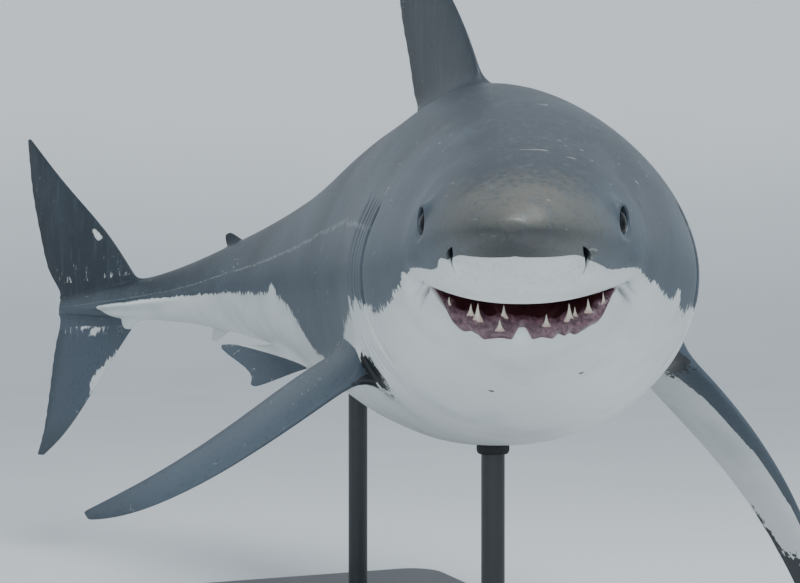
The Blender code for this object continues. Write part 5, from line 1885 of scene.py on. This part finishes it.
def floor_finish(settings):
    """Return the finish of the floor and of the wall that it curves up into, which glows with
    painted light.
    """
    mix = Mixer("studio_floor")
    cloud = mix.noise(mix.place(), 0.8, 3.0)
    shade = mix.blend(cloud, settings.floor, settings.floor_shade)
    height = mix.node("ShaderNodeSeparateXYZ", {}, {0: mix.place()}, 2)
    glow = mix.blend(mix.step(height, *WALL_GLOW), (0, 0, 0), settings.floor)
    mix.shader.inputs["Emission Strength"].default_value = settings.wall_glow
    return mix.finish(base_color=shade, roughness=0.62 + cloud * 0.1, emission_color=glow)


class SHARK_OT_stage(bpy.types.Operator):
    """Lay the floor, hang the lamps and place the camera"""
    bl_idname = "shark.stage"
    bl_label = "Stage"

    def execute(self, context):
        settings = context.scene.shark_stage
        leave_all()
        self.lay_floor(settings)
        world = bpy.data.worlds.new("studio")
        world.use_nodes = True
        light = world.node_tree.nodes["Background"].inputs
        light["Color"].default_value = SKY
        light["Strength"].default_value = settings.daylight
        context.scene.world = world
        for name, place, aim, size, power in LAMPS:
            leave_all()
            where = Vector(place)
            turn = (where - Vector(aim)).to_track_quat("Z", "Y").to_euler()
            bpy.ops.object.light_add(type="AREA", location=where, rotation=turn)
            lamp = bpy.context.object
            lamp.name = name
            lamp.data.size = size
            lamp.data.energy = power
        leave_all()
        bpy.ops.object.camera_add(location=Vector(CAMERA_PLACE) + SHIFT,
                                  rotation=(math.radians(90), 0, 0))
        camera = bpy.context.object
        camera.data.lens = settings.lens
        camera.data.sensor_width = SENSOR_WIDTH
        context.scene.camera = camera
        leave_all()
        return {"FINISHED"}

    @staticmethod
    def lay_floor(settings):
        """Draw the round floor out and up into the studio's wall."""
        radius, height = STUDIO[0]
        bpy.ops.mesh.primitive_circle_add(vertices=128, radius=radius, fill_type="TRIFAN",
                                          location=(0, 0, height), enter_editmode=True)
        select_rim()
        draw_profile(STUDIO)
        bpy.ops.object.mode_set(mode="OBJECT")
        bpy.ops.object.transform_apply()
        bpy.ops.object.shade_smooth_by_angle(angle=math.radians(30))
        floor = bpy.context.object
        floor.name = "floor"
        floor.data.materials.append(floor_finish(settings))


# ------------------------------------------------------------------ the add-on

class SHARK_PT_panel(bpy.types.Panel):
    """Lists the steps that make the model"""
    bl_label = "Shark"
    bl_space_type = "VIEW_3D"
    bl_region_type = "UI"
    bl_category = "Shark"

    def draw(self, context):
        for operator in OPERATORS:
            self.layout.operator(operator.bl_idname)


OPERATORS = (SHARK_OT_skin, SHARK_OT_eyes, SHARK_OT_gum, SHARK_OT_teeth, SHARK_OT_base,
             SHARK_OT_rods, SHARK_OT_stage)
GROUPS = (("shark_skin", SharkSkinSettings), ("shark_eyes", SharkEyeSettings),
          ("shark_mouth", SharkMouthSettings), ("shark_stand", SharkStandSettings),
          ("shark_stage", SharkStageSettings))


def register():
    """Add the settings, the steps and the panel."""
    for name, group in GROUPS:
        bpy.utils.register_class(group)
        setattr(bpy.types.Scene, name, PointerProperty(type=group))
    for made in OPERATORS + (SHARK_PT_panel,):
        bpy.utils.register_class(made)


def unregister():
    """Take away what register adds."""
    for made in OPERATORS + (SHARK_PT_panel,):
        bpy.utils.unregister_class(made)
    for name, group in GROUPS:
        delattr(bpy.types.Scene, name)
        bpy.utils.unregister_class(group)


def main():
    """Make the whole model, one step after another."""
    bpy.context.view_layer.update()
    register()
    for operator in OPERATORS:
        group, step = operator.bl_idname.split(".")
        getattr(getattr(bpy.ops, group), step)()


if __name__ == "__main__":
    main()
